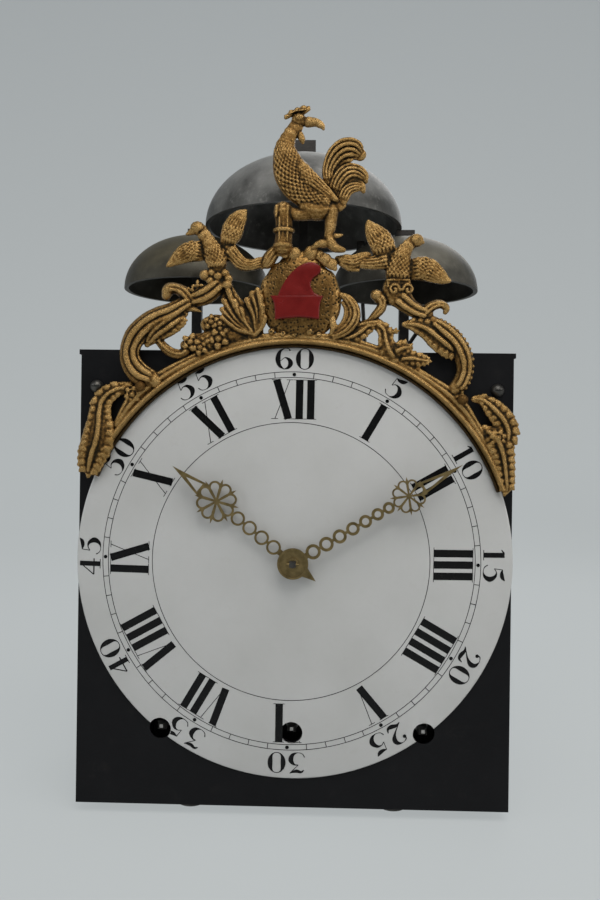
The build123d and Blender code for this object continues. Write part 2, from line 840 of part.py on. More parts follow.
def bell_posts():
    """Square posts riveted into the top plate. A shoulder under the crown carries each bell."""
    group = []
    for name, x, mouth, radius, height, width, nut in bell_places():
        half = width / 2
        crown = mouth + height - bell_wall
        stem = width / 2 - 0.5
        flat = 1.2
        post = block(x - half, x + half, -half, half, top_z, crown - flat)
        post += rod_z(x, 0, half + 4, top_z, top_z + 2.5)
        post += rod_z(x, 0, stem, ceiling_z, mouth + height + nut[1] + stem_end)
        group.append(post)
    return Compound(group)


def bell_nuts():
    group = []
    for name, x, mouth, radius, height, width, nut in bell_places():
        z0 = mouth + height
        half = nut[0] / 2
        stem = width / 2 - 0.5
        square = block(x - half, x + half, -half, half, z0, z0 + nut[1])
        group.append(square - rod_z(x, 0, stem + 0.02, z0, z0 + nut[1]))
    return Compound(group)


# Hammers

# Each head from its bell: X from the axis, Y, start below the mouth and top above it
hammer_heads = {
    "left": (24.7, 35.0, 9.2, 1.5),
    "right": (22.3, 36.0, 9.2, 1.5),
    "big": (42.4, 44.0, 10.0, 3.0),
}
hammer_tails = {"left": (-107.0, 0.0), "right": (58.0, -8.0), "big": (54.0, 8.0)}


def hammer(name):
    """A vertical arbor with a slanting rod to the hammer head and a tail at the pin wheel."""
    x, y = hammer_posts[name]
    bell_x, mouth = [(place[1], place[2]) for place in bell_places() if place[0] == name][0]
    across, head_y, below, above = hammer_heads[name]
    head_x = bell_x + across
    head_z = mouth - below
    head_top = mouth + above
    arbor = rod_z(x, y, hammer_radius, 0.3, top_z + 4)
    shaft = rod_between((x, y, top_z + 2), (head_x, head_y, head_z), 1.5)
    ball = Pos(x, y, top_z + 4) * Sphere(hammer_radius)
    head = rod_z(head_x, head_y, 3.2, head_z - 3, head_top)
    tail_x, rise = hammer_tails[name]
    tail_z = second_z + rise
    tail_y = second_y + wheel_thickness + pin_length + 2
    tail = rod_between((x, y, tail_z), (tail_x, tail_y, tail_z), 1.6)
    return arbor + ball + shaft + head + tail


# Pediment

def placed(x, z):
    """A drawn point of the ornament, moved with the dial's real radius and centre."""
    return (x * ornament_scale, dial_z + (z - drawn_centre_z) * ornament_scale)


def ribbon(stroke, share=1.0):
    """A leaf or scroll: a smooth band along its points, each with X, Z and half-width."""
    points = [(*placed(x, z), half * ornament_scale) for x, z, half in stroke]
    left, right = [], []
    count = len(points)
    for k, (x, z, half) in enumerate(points):
        before = points[max(0, k - 1)]
        after = points[min(count - 1, k + 1)]
        dx, dz = after[0] - before[0], after[1] - before[1]
        size = math.hypot(dx, dz)
        nx, nz = -dz / size * half * share, dx / size * half * share
        left.append((x + nx, z + nz))
        right.append((x - nx, z - nz))
    (x0, z0, w0), (x1, z1, w1) = points[0], points[1]
    (xa, za, wa), (xb, zb, wb) = points[-2], points[-1]
    head = math.hypot(x1 - x0, z1 - z0)
    tail = math.hypot(xb - xa, zb - za)
    start = (x0 - (x1 - x0) / head * w0 * share, z0 - (z1 - z0) / head * w0 * share)
    end = (xb + (xb - xa) / tail * wb * share, zb + (zb - za) / tail * wb * share)
    if count > 2:
        sides = Spline(*left) + Spline(*reversed(right))
    else:
        sides = Line(*left) + Line(*reversed(right))
    caps = ThreePointArc(left[-1], end, right[-1]) + ThreePointArc(right[0], start, left[0])
    return make_face(sides + caps)


# Each stroke is a list of X, Z and half-width along a scroll, leaf, wing or body.
left_strokes = [
    [(-97.5, 260, 3.5), (-111.5, 258.5, 5), (-120, 252.5, 5.5), (-123, 242.5, 7), (-120.5, 230, 9.5),
     (-125, 215, 6.5), (-128.5, 205, 2)],
    [(-86, 264.5, 4), (-97.5, 268, 6), (-102, 278.5, 7), (-101.5, 290, 7.5), (-93, 299.5, 8),
     (-81.5, 305.5, 7.5), (-71.5, 311.5, 6), (-60, 318.5, 5.5), (-50.5, 326, 5.5)],
    [(-66.5, 313.5, 3.5), (-71.5, 319.5, 3.2), (-78, 321.5, 2.8), (-82, 318, 2)],
    [(-75, 311.5, 4), (-66.5, 309, 3), (-59, 307, 1)],
    [(-83, 294, 3.5), (-76.5, 286.5, 4), (-68, 284, 4.5), (-61.5, 283, 3.5)],
    [(-70.5, 280, 3.5), (-63, 286.5, 6.5), (-53, 292.5, 7), (-44.5, 291.5, 6), (-36, 291.5, 5)],
    [(-22, 292, 3), (-29.5, 302, 6), (-39.5, 312, 6.5), (-42.5, 321.5, 5), (-42, 328.5, 5)],
    [(-17.5, 297, 3), (-25, 305.5, 5.5), (-27.5, 313.5, 5), (-23.5, 320.5, 1.5)],
    [(-26.5, 290.5, 2.5), (-36.5, 297, 4.5), (-43.5, 305, 4), (-46, 310, 1)],
    [(-57, 328.5, 4.5), (-48.5, 327.5, 7), (-39.5, 326, 4.5)],
    [(-62, 359.5, 4.5), (-54.5, 351, 5), (-49, 343, 7), (-50, 334, 5)],
    [(-62.5, 359, 3.2), (-68.5, 356, 1)],
    [(-44, 341.5, 4.5), (-40, 354, 6.5), (-36, 362.5, 5.5), (-31, 370.5, 1)],
    [(-54, 340.5, 4.5), (-64, 343, 6.5), (-72, 341, 5.5), (-81.5, 334.5, 1)],
    [(-42, 346, 4), (-36.5, 339, 4), (-28, 335.5, 3.5), (-20.5, 338, 3), (-15, 339.5, 4)],
]
right_strokes = [
    [(97.5, 255.5, 4.5), (109, 256, 5), (119, 253.5, 6), (127.5, 245.5, 6), (131, 236, 5.5)],
    [(124, 241.5, 6), (122, 231.5, 7.5), (127, 220, 7), (130.5, 208.5, 5.5), (130, 199, 1.5)],
    [(68, 313, 6), (80, 308, 6.5), (86, 299.5, 7), (94, 291.5, 8), (101.5, 283.5, 8.5),
     (104.5, 274, 8), (102.5, 265.5, 6.5), (96, 261, 4), (87.5, 263, 3)],
    [(79, 299, 4.5), (71.5, 299.5, 3.5), (65.5, 301.5, 1)],
    [(89, 291.5, 5), (83.5, 289, 3), (79, 291.5, 1)],
    [(68, 313, 5), (79, 311, 4.5), (87.5, 313.5, 3), (92.5, 311, 2)],
    [(61.5, 330, 7), (61, 320, 9), (66.5, 313.5, 7)],
    [(56.5, 318.5, 3.5), (50, 317.5, 3.5), (49, 310.5, 3.5), (51, 303, 3)],
    [(19, 298.5, 3.5), (28, 305, 6), (33, 313.5, 5), (30.5, 319, 1.5)],
    [(20, 290.5, 3.5), (36.5, 293, 6), (44.5, 299, 5.5), (51.5, 301.5, 3.5)],
    [(51, 302, 3.5), (56, 296.5, 4.5), (57.5, 288, 5.5), (63, 281.5, 6.5), (73, 278.5, 5.5),
     (83, 277, 1.5)],
    [(72, 353, 4.5), (66.5, 345.5, 5.5), (60.5, 337, 8), (57, 330, 7)],
    [(72.5, 353, 3.2), (78, 349.5, 1)],
    [(55.5, 339, 5.5), (50.5, 348.5, 7), (46.5, 357, 5.5), (43.5, 364, 1)],
    [(64, 334.5, 5), (77, 334, 6), (85, 331, 4.5), (92.5, 327.5, 1)],
    [(55, 337, 4.5), (43, 341, 4), (34.5, 338, 4), (24, 336, 4.5)],
]
rooster_strokes = [
    [(-8.5, 428, 1.5), (-3, 430, 2.5), (3.5, 430.5, 3), (6.5, 432, 1)],
    [(3, 424, 4), (9.5, 423.5, 3), (15.5, 419.5, 1)],
    [(1, 419, 3.5), (3, 413, 2.5)],
    [(0, 425.5, 5.5), (-5, 413, 7), (-6.5, 399.5, 9), (-1, 386.5, 11), (7.5, 379, 10),
     (16.5, 374.5, 8), (24, 373, 5)],
    [(24, 374, 6), (20, 389, 4), (22, 400.5, 5.5), (29, 407.5, 5.5), (36.5, 408, 4.5), (39.5, 403, 2.5)],
    [(25, 376, 5.5), (27.5, 389, 5.5), (34.5, 395, 5), (41.5, 391, 2.5)],
    [(26, 375, 4.5), (32, 382, 4.5), (40, 382.5, 2)],
    [(17.5, 373, 5), (19.5, 363.5, 3.5), (21.5, 354.5, 2.5), (22.5, 343, 3)],
    [(-7, 369, 3.5), (0, 370, 3.5), (8, 372, 4)],
    [(-8, 343, 5.2), (-8.5, 350, 4.2), (-8.5, 357.5, 3.6), (-8.5, 364, 4), (-8, 370, 5)],
    [(16, 347, 3), (22, 346.5, 3.6), (28, 347, 3)],
]
crest_strokes = [
    [(-18, 337, 3), (-15, 342, 4), (-8.5, 343.5, 3.5), (-1, 343, 3.5)],
    [(-1, 342.5, 3), (8, 342, 3), (16, 341.5, 4), (27, 339, 5)],
]


def pediment_screw_places():
    return [placed(-95.5, 260.5), placed(102.0, 254.5)]


def rim_face(inset):
    """The arch of the pediment: a band that laps over the dial's edge."""
    inner = dial_radius - rim_lap
    band = Circle(inner + rim_width - inset) - Circle(inner + inset)
    reach = 3 * dial_radius
    left = polar(reach, -rim_left_angle)
    right = polar(reach, rim_right_angle)
    wedge = outline([(0, 0), left, (left[0], reach), (right[0], reach), right])
    return Pos(0, dial_z) * (band & wedge)


def casting_face(share, inset):
    """The casting's outline in X and Z, with each stroke at a share of its width."""
    face = Sketch() + rim_face(inset)
    for stroke in left_strokes + right_strokes + crest_strokes:
        face += ribbon(stroke, share)
    half_across = medallion_width * ornament_scale / 2 - 2 * inset
    half_up = medallion_height * ornament_scale / 2 - 2 * inset
    face += Pos(*placed(*medallion)) * Ellipse(half_across, half_up)
    seat_x, seat_z = placed(7.5, crest_z)
    opening = 90 * ornament_scale
    face -= Pos(seat_x, seat_z + opening / 2) * Rectangle(49 * ornament_scale, opening)
    face -= Pos(0, dial_z) * Circle(dial_radius - rim_lap)
    for x, z in pediment_screw_places():
        face -= Pos(x, z) * Circle(2.05)
    return face


def pediment():
    front = casting_back_y - casting_base
    body = upright(casting_face(1.0, 0), 0, 0, front, casting_back_y)
    body += upright(casting_face(0.55, 1.2), 0, 0, casting_back_y - casting_relief, front)
    for drawn in rooster_feet:
        x, z = placed(drawn, crest_z)
        body -= rod_z(x, casting_back_y - 3, tenon_radius + 0.02, z - 8, z + 1)
    return body


def rooster():
    """The cast bird, thickest along the middle of its body, with two tenons below."""
    body = None
    for share, half in ((1.0, 3.0), (0.78, 4.8), (0.5, 6.0)):
        face = Sketch()
        for stroke in rooster_strokes:
            face += ribbon(stroke, share)
        level = upright(face, 0, 0, rooster_mid_y - half, rooster_mid_y + half)
        body = level if body is None else body + level
    seat = placed(0, crest_z)[1]
    body -= block(-60, 60, casting_back_y - 40, casting_back_y + 20, seat - 40, seat)
    for drawn in rooster_feet:
        x, z = placed(drawn, crest_z)
        body += rod_z(x, casting_back_y - 3, tenon_radius, z - 7, z + 2)
    return body


def medallion_cap():
    """The soft cap in relief on the medallion, over its folded band."""
    left = [(-9, 317), (-6.5, 325), (-1, 331.5), (7.5, 335.5), (12.5, 333)]
    right = [(12.5, 333), (9, 328.5), (7.8, 323.5), (10, 317)]
    folded = [(-14, 315.5), (-14, 317.5), (14.5, 317.8), (14.5, 315.8), (12.5, 304), (-11.5, 304)]
    left, right, folded = [[placed(*point) for point in side] for side in (left, right, folded)]
    crown = make_face(Spline(*left) + Spline(*right) + Line(right[-1], left[0]))
    band = outline(folded)
    front = casting_back_y - casting_relief
    return upright(crown + band, 0, 0, front - 3, front)


def pediment_screws():
    """Rivets with spacers that hold the casting in front of the sheet."""
    group = []
    for x, z in pediment_screw_places():
        head_y = casting_back_y - casting_relief
        dome = Pos(x, head_y, z) * Rot(90, 0, 0) * (Sphere(3.2) & Pos(0, 0, 2.5) * Box(10, 10, 5))
        shank = rod_y(x, z, 2.0, head_y, -half_depth)
        spacer = rod_y(x, z, 4.5, casting_back_y, sheet_y)
        group.append(dome + shank + spacer)
    return Compound(group)


def save(shape, name):
    export_step(shape, "parts/" + name + ".step")


def main():
    os.makedirs("parts", exist_ok=True)
    save(bottom_plate(), "bottom_plate")
    save(top_plate(), "top_plate")
    save(pillars(), "corner_pillars")
    save(Compound([bar(x, front_bar_y, front_pivots(n)) for n, x in trains.items()]), "front_bars")
    save(Compound([bar(x, rear_bar_y, rear_pivots(n)) for n, x in trains.items()]), "rear_bars")
    save(bushes(), "pivot_bushes")
    save(front_sheet(), "front_sheet")
    save(back_plate(), "back_plate")
    save(sheet_screws(), "sheet_screws")
    save(feet(), "feet")
    for side, label in ((-1, "left"), (1, "right")):
        save(door(side), label + "_door")
        save(door_knob(side), label + "_door_knob")
    for name, x in trains.items():
        save(Compound([winding_arbor(x), ratchet(x)]), name + "_barrel")
        save(Compound([great_wheel(x), click(x)]), name + "_great_wheel")
    going = trains["going"]
    save(second_arbor(going), "going_second_arbor")
    save(second_wheel(going), "going_second_wheel")
    save(third_arbor(going), "going_third_arbor")
    save(third_wheel(going), "going_third_wheel")
    save(fourth_arbor(going), "escape_arbor")
    save(escape_wheel(), "escape_wheel")
    save(anchor(), "anchor")
    save(anchor_arbor(), "anchor_arbor")
    save(crutch(), "crutch")
    save(suspension_cock(), "suspension_cock")
    for name in ("quarter", "strike"):
        x = trains[name]
        pinned = Compound([second_arbor(x), second_wheel(x)] + lifting_pins(x))
        save(pinned, name + "_pin_wheel")
        save(Compound([third_arbor(x), third_wheel(x)]), name + "_third_wheel")
        save(Compound([fourth_arbor(x), fly(x)]), name + "_fly")
    save(drive_wheel(), "motion_drive_wheel")
    save(centre_arbor(), "centre_arbor")
    save(centre_wheel(), "centre_wheel")
    save(relay(), "minute_wheel")
    save(relay_stud(), "minute_wheel_stud")
    save(hour_wheel(), "hour_wheel")
    save(snail(), "hour_snail")
    save(hour_hand(), "hour_hand")
    save(minute_hand(), "minute_hand")
    save(collet(), "hand_collet")
    save(dial(), "dial")
    for name, x, mouth, radius, height, width, nut in bell_places():
        save(bell(x, mouth, radius, height, width), name + "_bell")
    save(bell_posts(), "bell_posts")
    save(bell_nuts(), "bell_nuts")
    for name in hammer_posts:
        save(hammer(name), name + "_hammer")
    save(pediment(), "pediment")
    save(pediment_screws(), "pediment_rivets")
    save(rooster(), "rooster")
    save(medallion_cap(), "medallion_cap")


main()
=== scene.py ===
import math

import bmesh
import bpy
import numpy as np
from mathutils import Matrix, Vector


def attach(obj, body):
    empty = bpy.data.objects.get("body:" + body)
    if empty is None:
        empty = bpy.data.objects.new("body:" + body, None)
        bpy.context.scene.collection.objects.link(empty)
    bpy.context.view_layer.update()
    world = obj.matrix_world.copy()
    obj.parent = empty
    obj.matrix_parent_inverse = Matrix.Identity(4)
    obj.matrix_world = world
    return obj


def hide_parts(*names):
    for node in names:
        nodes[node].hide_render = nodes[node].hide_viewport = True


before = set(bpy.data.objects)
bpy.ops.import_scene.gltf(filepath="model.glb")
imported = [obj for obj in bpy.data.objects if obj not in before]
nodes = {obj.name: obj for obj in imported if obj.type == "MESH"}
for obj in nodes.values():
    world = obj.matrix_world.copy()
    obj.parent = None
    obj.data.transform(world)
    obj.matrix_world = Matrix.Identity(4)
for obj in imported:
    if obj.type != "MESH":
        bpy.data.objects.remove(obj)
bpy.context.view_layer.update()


# Helpers for the selection, meshes and shader nodes.

def clear_selection():
    for obj in bpy.context.selected_objects:
        obj.select_set(False)
    bpy.context.view_layer.objects.active = None


def activate(obj):
    clear_selection()
    obj.select_set(True)
    bpy.context.view_layer.objects.active = obj
    return obj


def new_piece(name, points, edges=(), faces=()):
    """A mesh object made from its points, linked and made active."""
    mesh = bpy.data.meshes.new(name)
    mesh.from_pydata(points, list(edges), list(faces))
    made = bpy.data.objects.new(name, mesh)
    bpy.context.scene.collection.objects.link(made)
    return activate(made)


def apply_modifier(made, kind, **settings):
    """Adds a modifier with its settings and applies it at once."""
    activate(made)
    bpy.ops.object.modifier_add(type=kind)
    for key, value in settings.items():
        setattr(made.modifiers[-1], key, value)
    bpy.ops.object.modifier_apply(modifier=made.modifiers[-1].name)


def weld(gap, spin=None, face_out=True):
    """Joins the active mesh's close points, after a spin about the dial's axis if one is given."""
    bpy.ops.object.mode_set(mode="EDIT")
    bpy.ops.mesh.select_all(action="SELECT")
    if spin:
        bpy.ops.mesh.spin(steps=spin[0], angle=spin[1], center=dial_centre, axis=(0, 1, 0))
        bpy.ops.mesh.select_all(action="SELECT")
    bpy.ops.mesh.remove_doubles(threshold=gap)
    if face_out:
        bpy.ops.mesh.normals_make_consistent(inside=False)
    bpy.ops.object.mode_set(mode="OBJECT")


def feed(made, feeds):
    """Links a socket to a node's input, or sets its value, by the input's name or number."""
    for key, value in feeds.items():
        if isinstance(value, bpy.types.NodeSocket):
            made.id_data.links.new(value, made.inputs[key])
        else:
            made.inputs[key].default_value = value


def node(tree, kind, at, feeds=(), **settings):
    """A node with its settings made and its inputs fed."""
    made = tree.nodes.new(kind)
    made.location = at
    for key, value in settings.items():
        setattr(made, key, value)
    feed(made, dict(feeds))
    return made


# Studio. A plain pale sweep, the camera at the photograph's place, and soft lamps above and to
# both sides. Only the camera and glossy rays see the sweep's painted tone.
clear_selection()
camera_spot = (0.0168, -0.5888, 0.2218)
camera_yaw, camera_tilt, camera_roll = math.radians(1.52), math.radians(90.1), math.radians(0.74)
bpy.ops.object.camera_add(location=camera_spot)
camera = bpy.context.object
camera.name = "camera"
camera.data.sensor_fit = "VERTICAL"
camera.data.sensor_height = 36
camera.data.lens = 33.2
camera.data.clip_start = 0.01
turn = Matrix.Rotation(camera_yaw, 4, "Z") @ Matrix.Rotation(camera_tilt, 4, "X")
camera.matrix_world = Matrix.Translation(camera_spot) @ turn @ Matrix.Rotation(camera_roll, 4, "Z")
bpy.context.scene.camera = camera

sweep_side = [(-4.0, -0.0122), (0.9, -0.0122), (1.3, 0.03), (1.6, 0.16), (1.8, 0.4), (1.9, 0.8), (1.92, 4.0)]
sweep_points = [(x, y, z) for y, z in sweep_side for x in (-4.0, 4.0)]
sweep_faces = [(2 * k, 2 * k + 1, 2 * k + 3, 2 * k + 2) for k in range(len(sweep_side) - 1)]
sweep = new_piece("sweep", sweep_points, faces=sweep_faces)
apply_modifier(sweep, "SUBSURF", levels=3)
bpy.ops.object.shade_smooth()
# The camera and glossy rays see mostly a painted glow on the sweep, darker towards the top: painted light in
# place of the lamps' light on it. Other rays see only the matt paint.
sweep_glow_and_paint = bpy.data.materials.new("pale_sweep_painted_glow")
sweep_glow_and_paint.use_nodes = True
tree = sweep_glow_and_paint.node_tree
tree.nodes.clear()
place = node(tree, "ShaderNodeTexCoord", (-900, 0))
split = node(tree, "ShaderNodeSeparateXYZ", (-700, 0), {0: place.outputs["Object"]})
rise = node(tree, "ShaderNodeMapRange", (-500, 0),
            {"Value": split.outputs["Z"], "From Min": 0.2, "From Max": 2.2})
tone = node(tree, "ShaderNodeValToRGB", (-300, 0), {0: rise.outputs[0]})
tone.color_ramp.elements[0].color = (0.46, 0.49, 0.495, 1)
tone.color_ramp.elements[1].color = (0.33, 0.355, 0.365, 1)
rays = node(tree, "ShaderNodeLightPath", (-500, 300))
seen = node(tree, "ShaderNodeMath", (-300, 300),
            {0: rays.outputs["Is Camera Ray"], 1: rays.outputs["Is Glossy Ray"]}, operation="MAXIMUM")
glow_share = node(tree, "ShaderNodeMath", (0, 300), {0: seen.outputs[0], 1: 0.75}, operation="MULTIPLY")
matt = node(tree, "ShaderNodeBsdfDiffuse", (0, -150), {"Color": (0.62, 0.635, 0.64, 1)})
glow = node(tree, "ShaderNodeEmission", (0, 50), {"Color": tone.outputs[0], "Strength": 1.12})
both = node(tree, "ShaderNodeMixShader", (250, 0),
            {0: glow_share.outputs[0], 1: matt.outputs[0], 2: glow.outputs[0]})
node(tree, "ShaderNodeOutputMaterial", (450, 0), {0: both.outputs[0]})
sweep.data.materials.append(sweep_glow_and_paint)


def lamp(name, spot, aim, size, power, tint):
    """A soft square lamp that points at a place on the clock."""
    clear_selection()
    bpy.ops.object.light_add(type="AREA", location=spot)
    made = bpy.context.object
    made.name = name
    made.data.size = size
    made.data.energy = power
    made.data.color = tint
    made.rotation_euler = (Vector(aim) - Vector(spot)).to_track_quat("-Z", "Y").to_euler()


lamp("top_lamp", (0.15, -0.75, 1.25), (0, -0.05, 0.2), 0.9, 9.5, (1.0, 0.985, 0.96))
lamp("left_lamp", (-1.2, -0.7, 0.55), (0, 0, 0.22), 0.8, 3.4, (0.95, 0.98, 1.0))
lamp("right_lamp", (1.2, -0.6, 0.6), (0, 0, 0.22), 0.8, 4.2, (1.0, 0.99, 0.97))
lamp("back_lamp", (0.3, 0.9, 0.9), (0, 0, 0.3), 0.8, 3, (1.0, 1.0, 1.0))
world = bpy.data.worlds.new("pale_room")
bpy.context.scene.world = world
world.use_nodes = True
world.node_tree.nodes["Background"].inputs["Color"].default_value = (0.80, 0.84, 0.86, 1)
world.node_tree.nodes["Background"].inputs["Strength"].default_value = 0.25
bpy.context.scene.view_settings.view_transform = "Standard"


# Cage sheets. Thin sheet iron brushed with satin black paint: the front sheet is screwed to the
# pillars, the doors turn on pins, and two plates close the cage above and below.

def uneven_group():
    """Two sizes of cloudy unevenness over a surface, as masks from 0 to 1."""
    group = bpy.data.node_groups.new("uneven_surface", "ShaderNodeTree")
    group.interface.new_socket("Vector", in_out="INPUT", socket_type="NodeSocketVector")
    for name, value in (("Broad scale", 40.0), ("Fine scale", 700.0)):
        socket = group.interface.new_socket(name, in_out="INPUT", socket_type="NodeSocketFloat")
        socket.default_value = value
    for name in ("Broad", "Fine", "Spots"):
        group.interface.new_socket(name, in_out="OUTPUT", socket_type="NodeSocketFloat")
    came = node(group, "NodeGroupInput", (-700, 0)).outputs
    goes = node(group, "NodeGroupOutput", (500, 0))
    finer = node(group, "ShaderNodeMath", (-550, -300), {0: came["Broad scale"], 1: 4.0},
                 operation="MULTIPLY")
    clouds = (("Broad", 200, came["Broad scale"], 6.0, 0.6, 0.3, 0.7),
              ("Fine", -50, came["Fine scale"], 3.0, 0.65, 0.3, 0.7),
              ("Spots", -300, finer.outputs[0], 8.0, 0.75, 0.56, 0.68))
    for name, height, scale, detail, roughness, low, high in clouds:
        noise = node(group, "ShaderNodeTexNoise", (-400, height),
                     {"Vector": came["Vector"], "Scale": scale, "Detail": detail, "Roughness": roughness})
        span = node(group, "ShaderNodeMapRange", (0, height),
                    {"Value": noise.outputs[0], "From Min": low, "From Max": high})
        feed(goes, {name: span.outputs[0]})
    return group


uneven = uneven_group()


def clouded_material(name, broad, fine):
    """A material with the unevenness in it, and its tree, shader and masks."""
    made = bpy.data.materials.new(name)
    made.use_nodes = True
    tree = made.node_tree
    place = node(tree, "ShaderNodeTexCoord", (-1300, 0)).outputs["Object"]
    cloud = node(tree, "ShaderNodeGroup", (-1100, 0),
                 {"Vector": place, "Broad scale": broad, "Fine scale": fine}, node_tree=uneven)
    return made, tree, tree.nodes["Principled BSDF"], cloud.outputs


def aged_surface(name, low, high, spots, broad, fine, rough, metallic, bump, spot_share, **more):
    """A finish whose colour and gloss wander between two tones, with small spots of a third."""
    made, tree, skin, cloud = clouded_material(name, broad, fine)
    tones = node(tree, "ShaderNodeMix", (-800, 200), {0: cloud["Broad"], 6: (*low, 1), 7: (*high, 1)},
                 data_type="RGBA")
    share = node(tree, "ShaderNodeMath", (-800, -50), {0: cloud["Spots"], 1: spot_share},
                 operation="MULTIPLY")
    spotted = node(tree, "ShaderNodeMix", (-550, 200),
                   {0: share.outputs[0], 6: tones.outputs[2], 7: (*spots, 1)}, data_type="RGBA")
    scaled = node(tree, "ShaderNodeMath", (-950, -350), {0: cloud["Broad"], 1: 0.6}, operation="MULTIPLY")
    mixed = node(tree, "ShaderNodeMath", (-800, -250), {0: cloud["Fine"], 1: 0.4, 2: scaled.outputs[0]},
                 operation="MULTIPLY_ADD")
    gloss = node(tree, "ShaderNodeMapRange", (-550, -150),
                 {"Value": mixed.outputs[0], "To Min": rough[0], "To Max": rough[1]})
    relief = node(tree, "ShaderNodeBump", (-250, -350),
                  {"Height": mixed.outputs[0], "Strength": bump[0], "Distance": bump[1]})
    feed(skin, {"Base Color": spotted.outputs[2], "Roughness": gloss.outputs[0],
                "Normal": relief.outputs[0], "Metallic": metallic})
    for key, value in more.items():
        feed(skin, {key.replace("_", " "): value})
    return made


def finish(material, *names):
    """Puts a material on carried-over CAD nodes."""
    for name in names:
        nodes[name].data.materials.clear()
        nodes[name].data.materials.append(material)


black_iron = aged_surface("satin_black_paint", (0.0028, 0.0028, 0.0036), (0.0058, 0.0058, 0.0068),
                          (0.017, 0.015, 0.013), 18, 900, (0.36, 0.52), 0.0, (0.25, 0.0003), 0.25,
                          Specular_IOR_Level=0.18)
finish(black_iron, "front_sheet", "back_plate", "left_door", "right_door", "top_plate", "corner_pillars",
       "bottom_plate")


# Bars, posts, cock and nuts of forged iron, left dark from the fire, with a little rust in the
# pores. They are riveted through the plates by their tenons.
forged_iron = aged_surface("forged_iron", (0.022, 0.021, 0.020), (0.05, 0.046, 0.042), (0.10, 0.06, 0.035),
                           90, 900, (0.45, 0.65), 0.6, (0.5, 0.0004), 0.35)
finish(forged_iron, "front_bars", "rear_bars", "suspension_cock", "bell_posts", "bell_nuts", "crutch")


# Arbors, hammers, feet and screws of turned steel, dulled to a dark grey.
dark_steel = aged_surface("dark_steel", (0.05, 0.048, 0.045), (0.12, 0.115, 0.105), (0.16, 0.10, 0.06),
                          150, 1400, (0.32, 0.5), 0.9, (0.3, 0.0002), 0.3)
finish(dark_steel, "sheet_screws", "feet", "anchor", "anchor_arbor", "escape_arbor", "going_second_arbor",
       "going_third_arbor", "centre_arbor", "minute_wheel_stud", "left_hammer", "right_hammer",
       "big_hammer")
# The barrels take a lighter copy of the dark steel: painted light, so their arbor ends show as light spots in
# the shaded winding holes.
painted_light_steel = aged_surface("barrel_steel_painted_light", (0.34, 0.33, 0.31), (0.55, 0.54, 0.51), (0.16, 0.11, 0.07),
                            150, 1400, (0.25, 0.42), 0.85, (0.3, 0.0002), 0.3)
finish(painted_light_steel, "quarter_barrel", "going_barrel", "strike_barrel")


# Wheels, bushes and door knobs of cast and turned brass, mellow with age.
old_brass = aged_surface("old_brass", (0.36, 0.25, 0.10), (0.56, 0.41, 0.18), (0.16, 0.10, 0.04),
                         120, 1500, (0.25, 0.45), 1.0, (0.2, 0.0002), 0.4)
finish(old_brass, "pivot_bushes", "left_door_knob", "right_door_knob", "quarter_great_wheel",
       "going_great_wheel", "strike_great_wheel", "going_second_wheel", "going_third_wheel", "escape_wheel",
       "quarter_pin_wheel", "strike_pin_wheel", "quarter_third_wheel", "strike_third_wheel", "quarter_fly",
       "strike_fly", "motion_drive_wheel", "centre_wheel", "minute_wheel", "hour_wheel", "hour_snail")


# Bells. Three cast bells of grey metal, spun smooth and mottled by a century of dust. The big one
# is the palest; the small pair has gone an olive grey. Each sits on its post under a square nut.
def paint_light_on_top(material, top_light_tone, low, high):
    """Paints the sides that face up lighter, patchy where the metal shows through: painted light from the
    lamp above.
    """
    tree = material.node_tree
    skin = tree.nodes["Principled BSDF"]
    cloud = next(n for n in tree.nodes if n.type == "GROUP")
    way = node(tree, "ShaderNodeTexCoord", (-1300, 600))
    parts = node(tree, "ShaderNodeSeparateXYZ", (-1100, 600), {0: way.outputs["Normal"]})
    patch = node(tree, "ShaderNodeMath", (-900, 600),
                 {0: cloud.outputs["Broad"], 1: 0.5, 2: parts.outputs["Z"]}, operation="MULTIPLY_ADD")
    amount = node(tree, "ShaderNodeMapRange", (-700, 600),
                  {"Value": patch.outputs[0], "From Min": low, "From Max": high})
    under = skin.inputs["Base Color"].links[0].from_socket
    lit = node(tree, "ShaderNodeMix", (-300, 500), {0: amount.outputs[0], 6: under, 7: (*top_light_tone, 1)},
               data_type="RGBA")
    feed(skin, {"Base Color": lit.outputs[2]})
    return material


# Each bell's last three entries set the painted light on its up-facing sides: its tone, and the range of the
# mask over which it comes in.
bell_finishes = (
    ("big_bell", (0.045, 0.044, 0.040), (0.17, 0.167, 0.155), (0.30, 0.29, 0.27), 45, (0.38, 0.6), 0.5,
     (0.34, 0.335, 0.32), 0.35, 1.25),
    ("left_bell", (0.035, 0.031, 0.021), (0.085, 0.078, 0.058), (0.13, 0.12, 0.095), 55, (0.42, 0.6), 0.4,
     (0.13, 0.11, 0.065), 0.5, 1.4),
    ("right_bell", (0.035, 0.033, 0.026), (0.10, 0.094, 0.078), (0.17, 0.16, 0.14), 48, (0.42, 0.6), 0.4,
     (0.22, 0.205, 0.165), 0.45, 1.3))
for name, low, high, spots, broad, rough, spot_share, top_light_tone, top_light_from, top_light_to in bell_finishes:
    metal = aged_surface(name + "_metal", low, high, spots, broad, 1100, rough, 0.6, (0.4, 0.0003),
                         spot_share)
    finish(paint_light_on_top(metal, top_light_tone, top_light_from, top_light_to), name)


# Dial. A domed copper disc fired with white enamel, glossy, faintly crazed and gone grey, with a
# thin rounded edge. The two outer winding holes break through its rim.
dial_radius = 0.1355
dial_centre = Vector((0, 0, 0.154))
dial_edge_y = -0.0713
winding_spacing = 0.082
winding_z = 0.048
edge_round = 0.0011
centre_hole = 0.006
dial_rise = 0.008
dial_thickness = 0.002
dial_sphere = (dial_radius ** 2 + dial_rise ** 2) / (2 * dial_rise)
dial_apex_y = dial_edge_y - dial_thickness - dial_rise


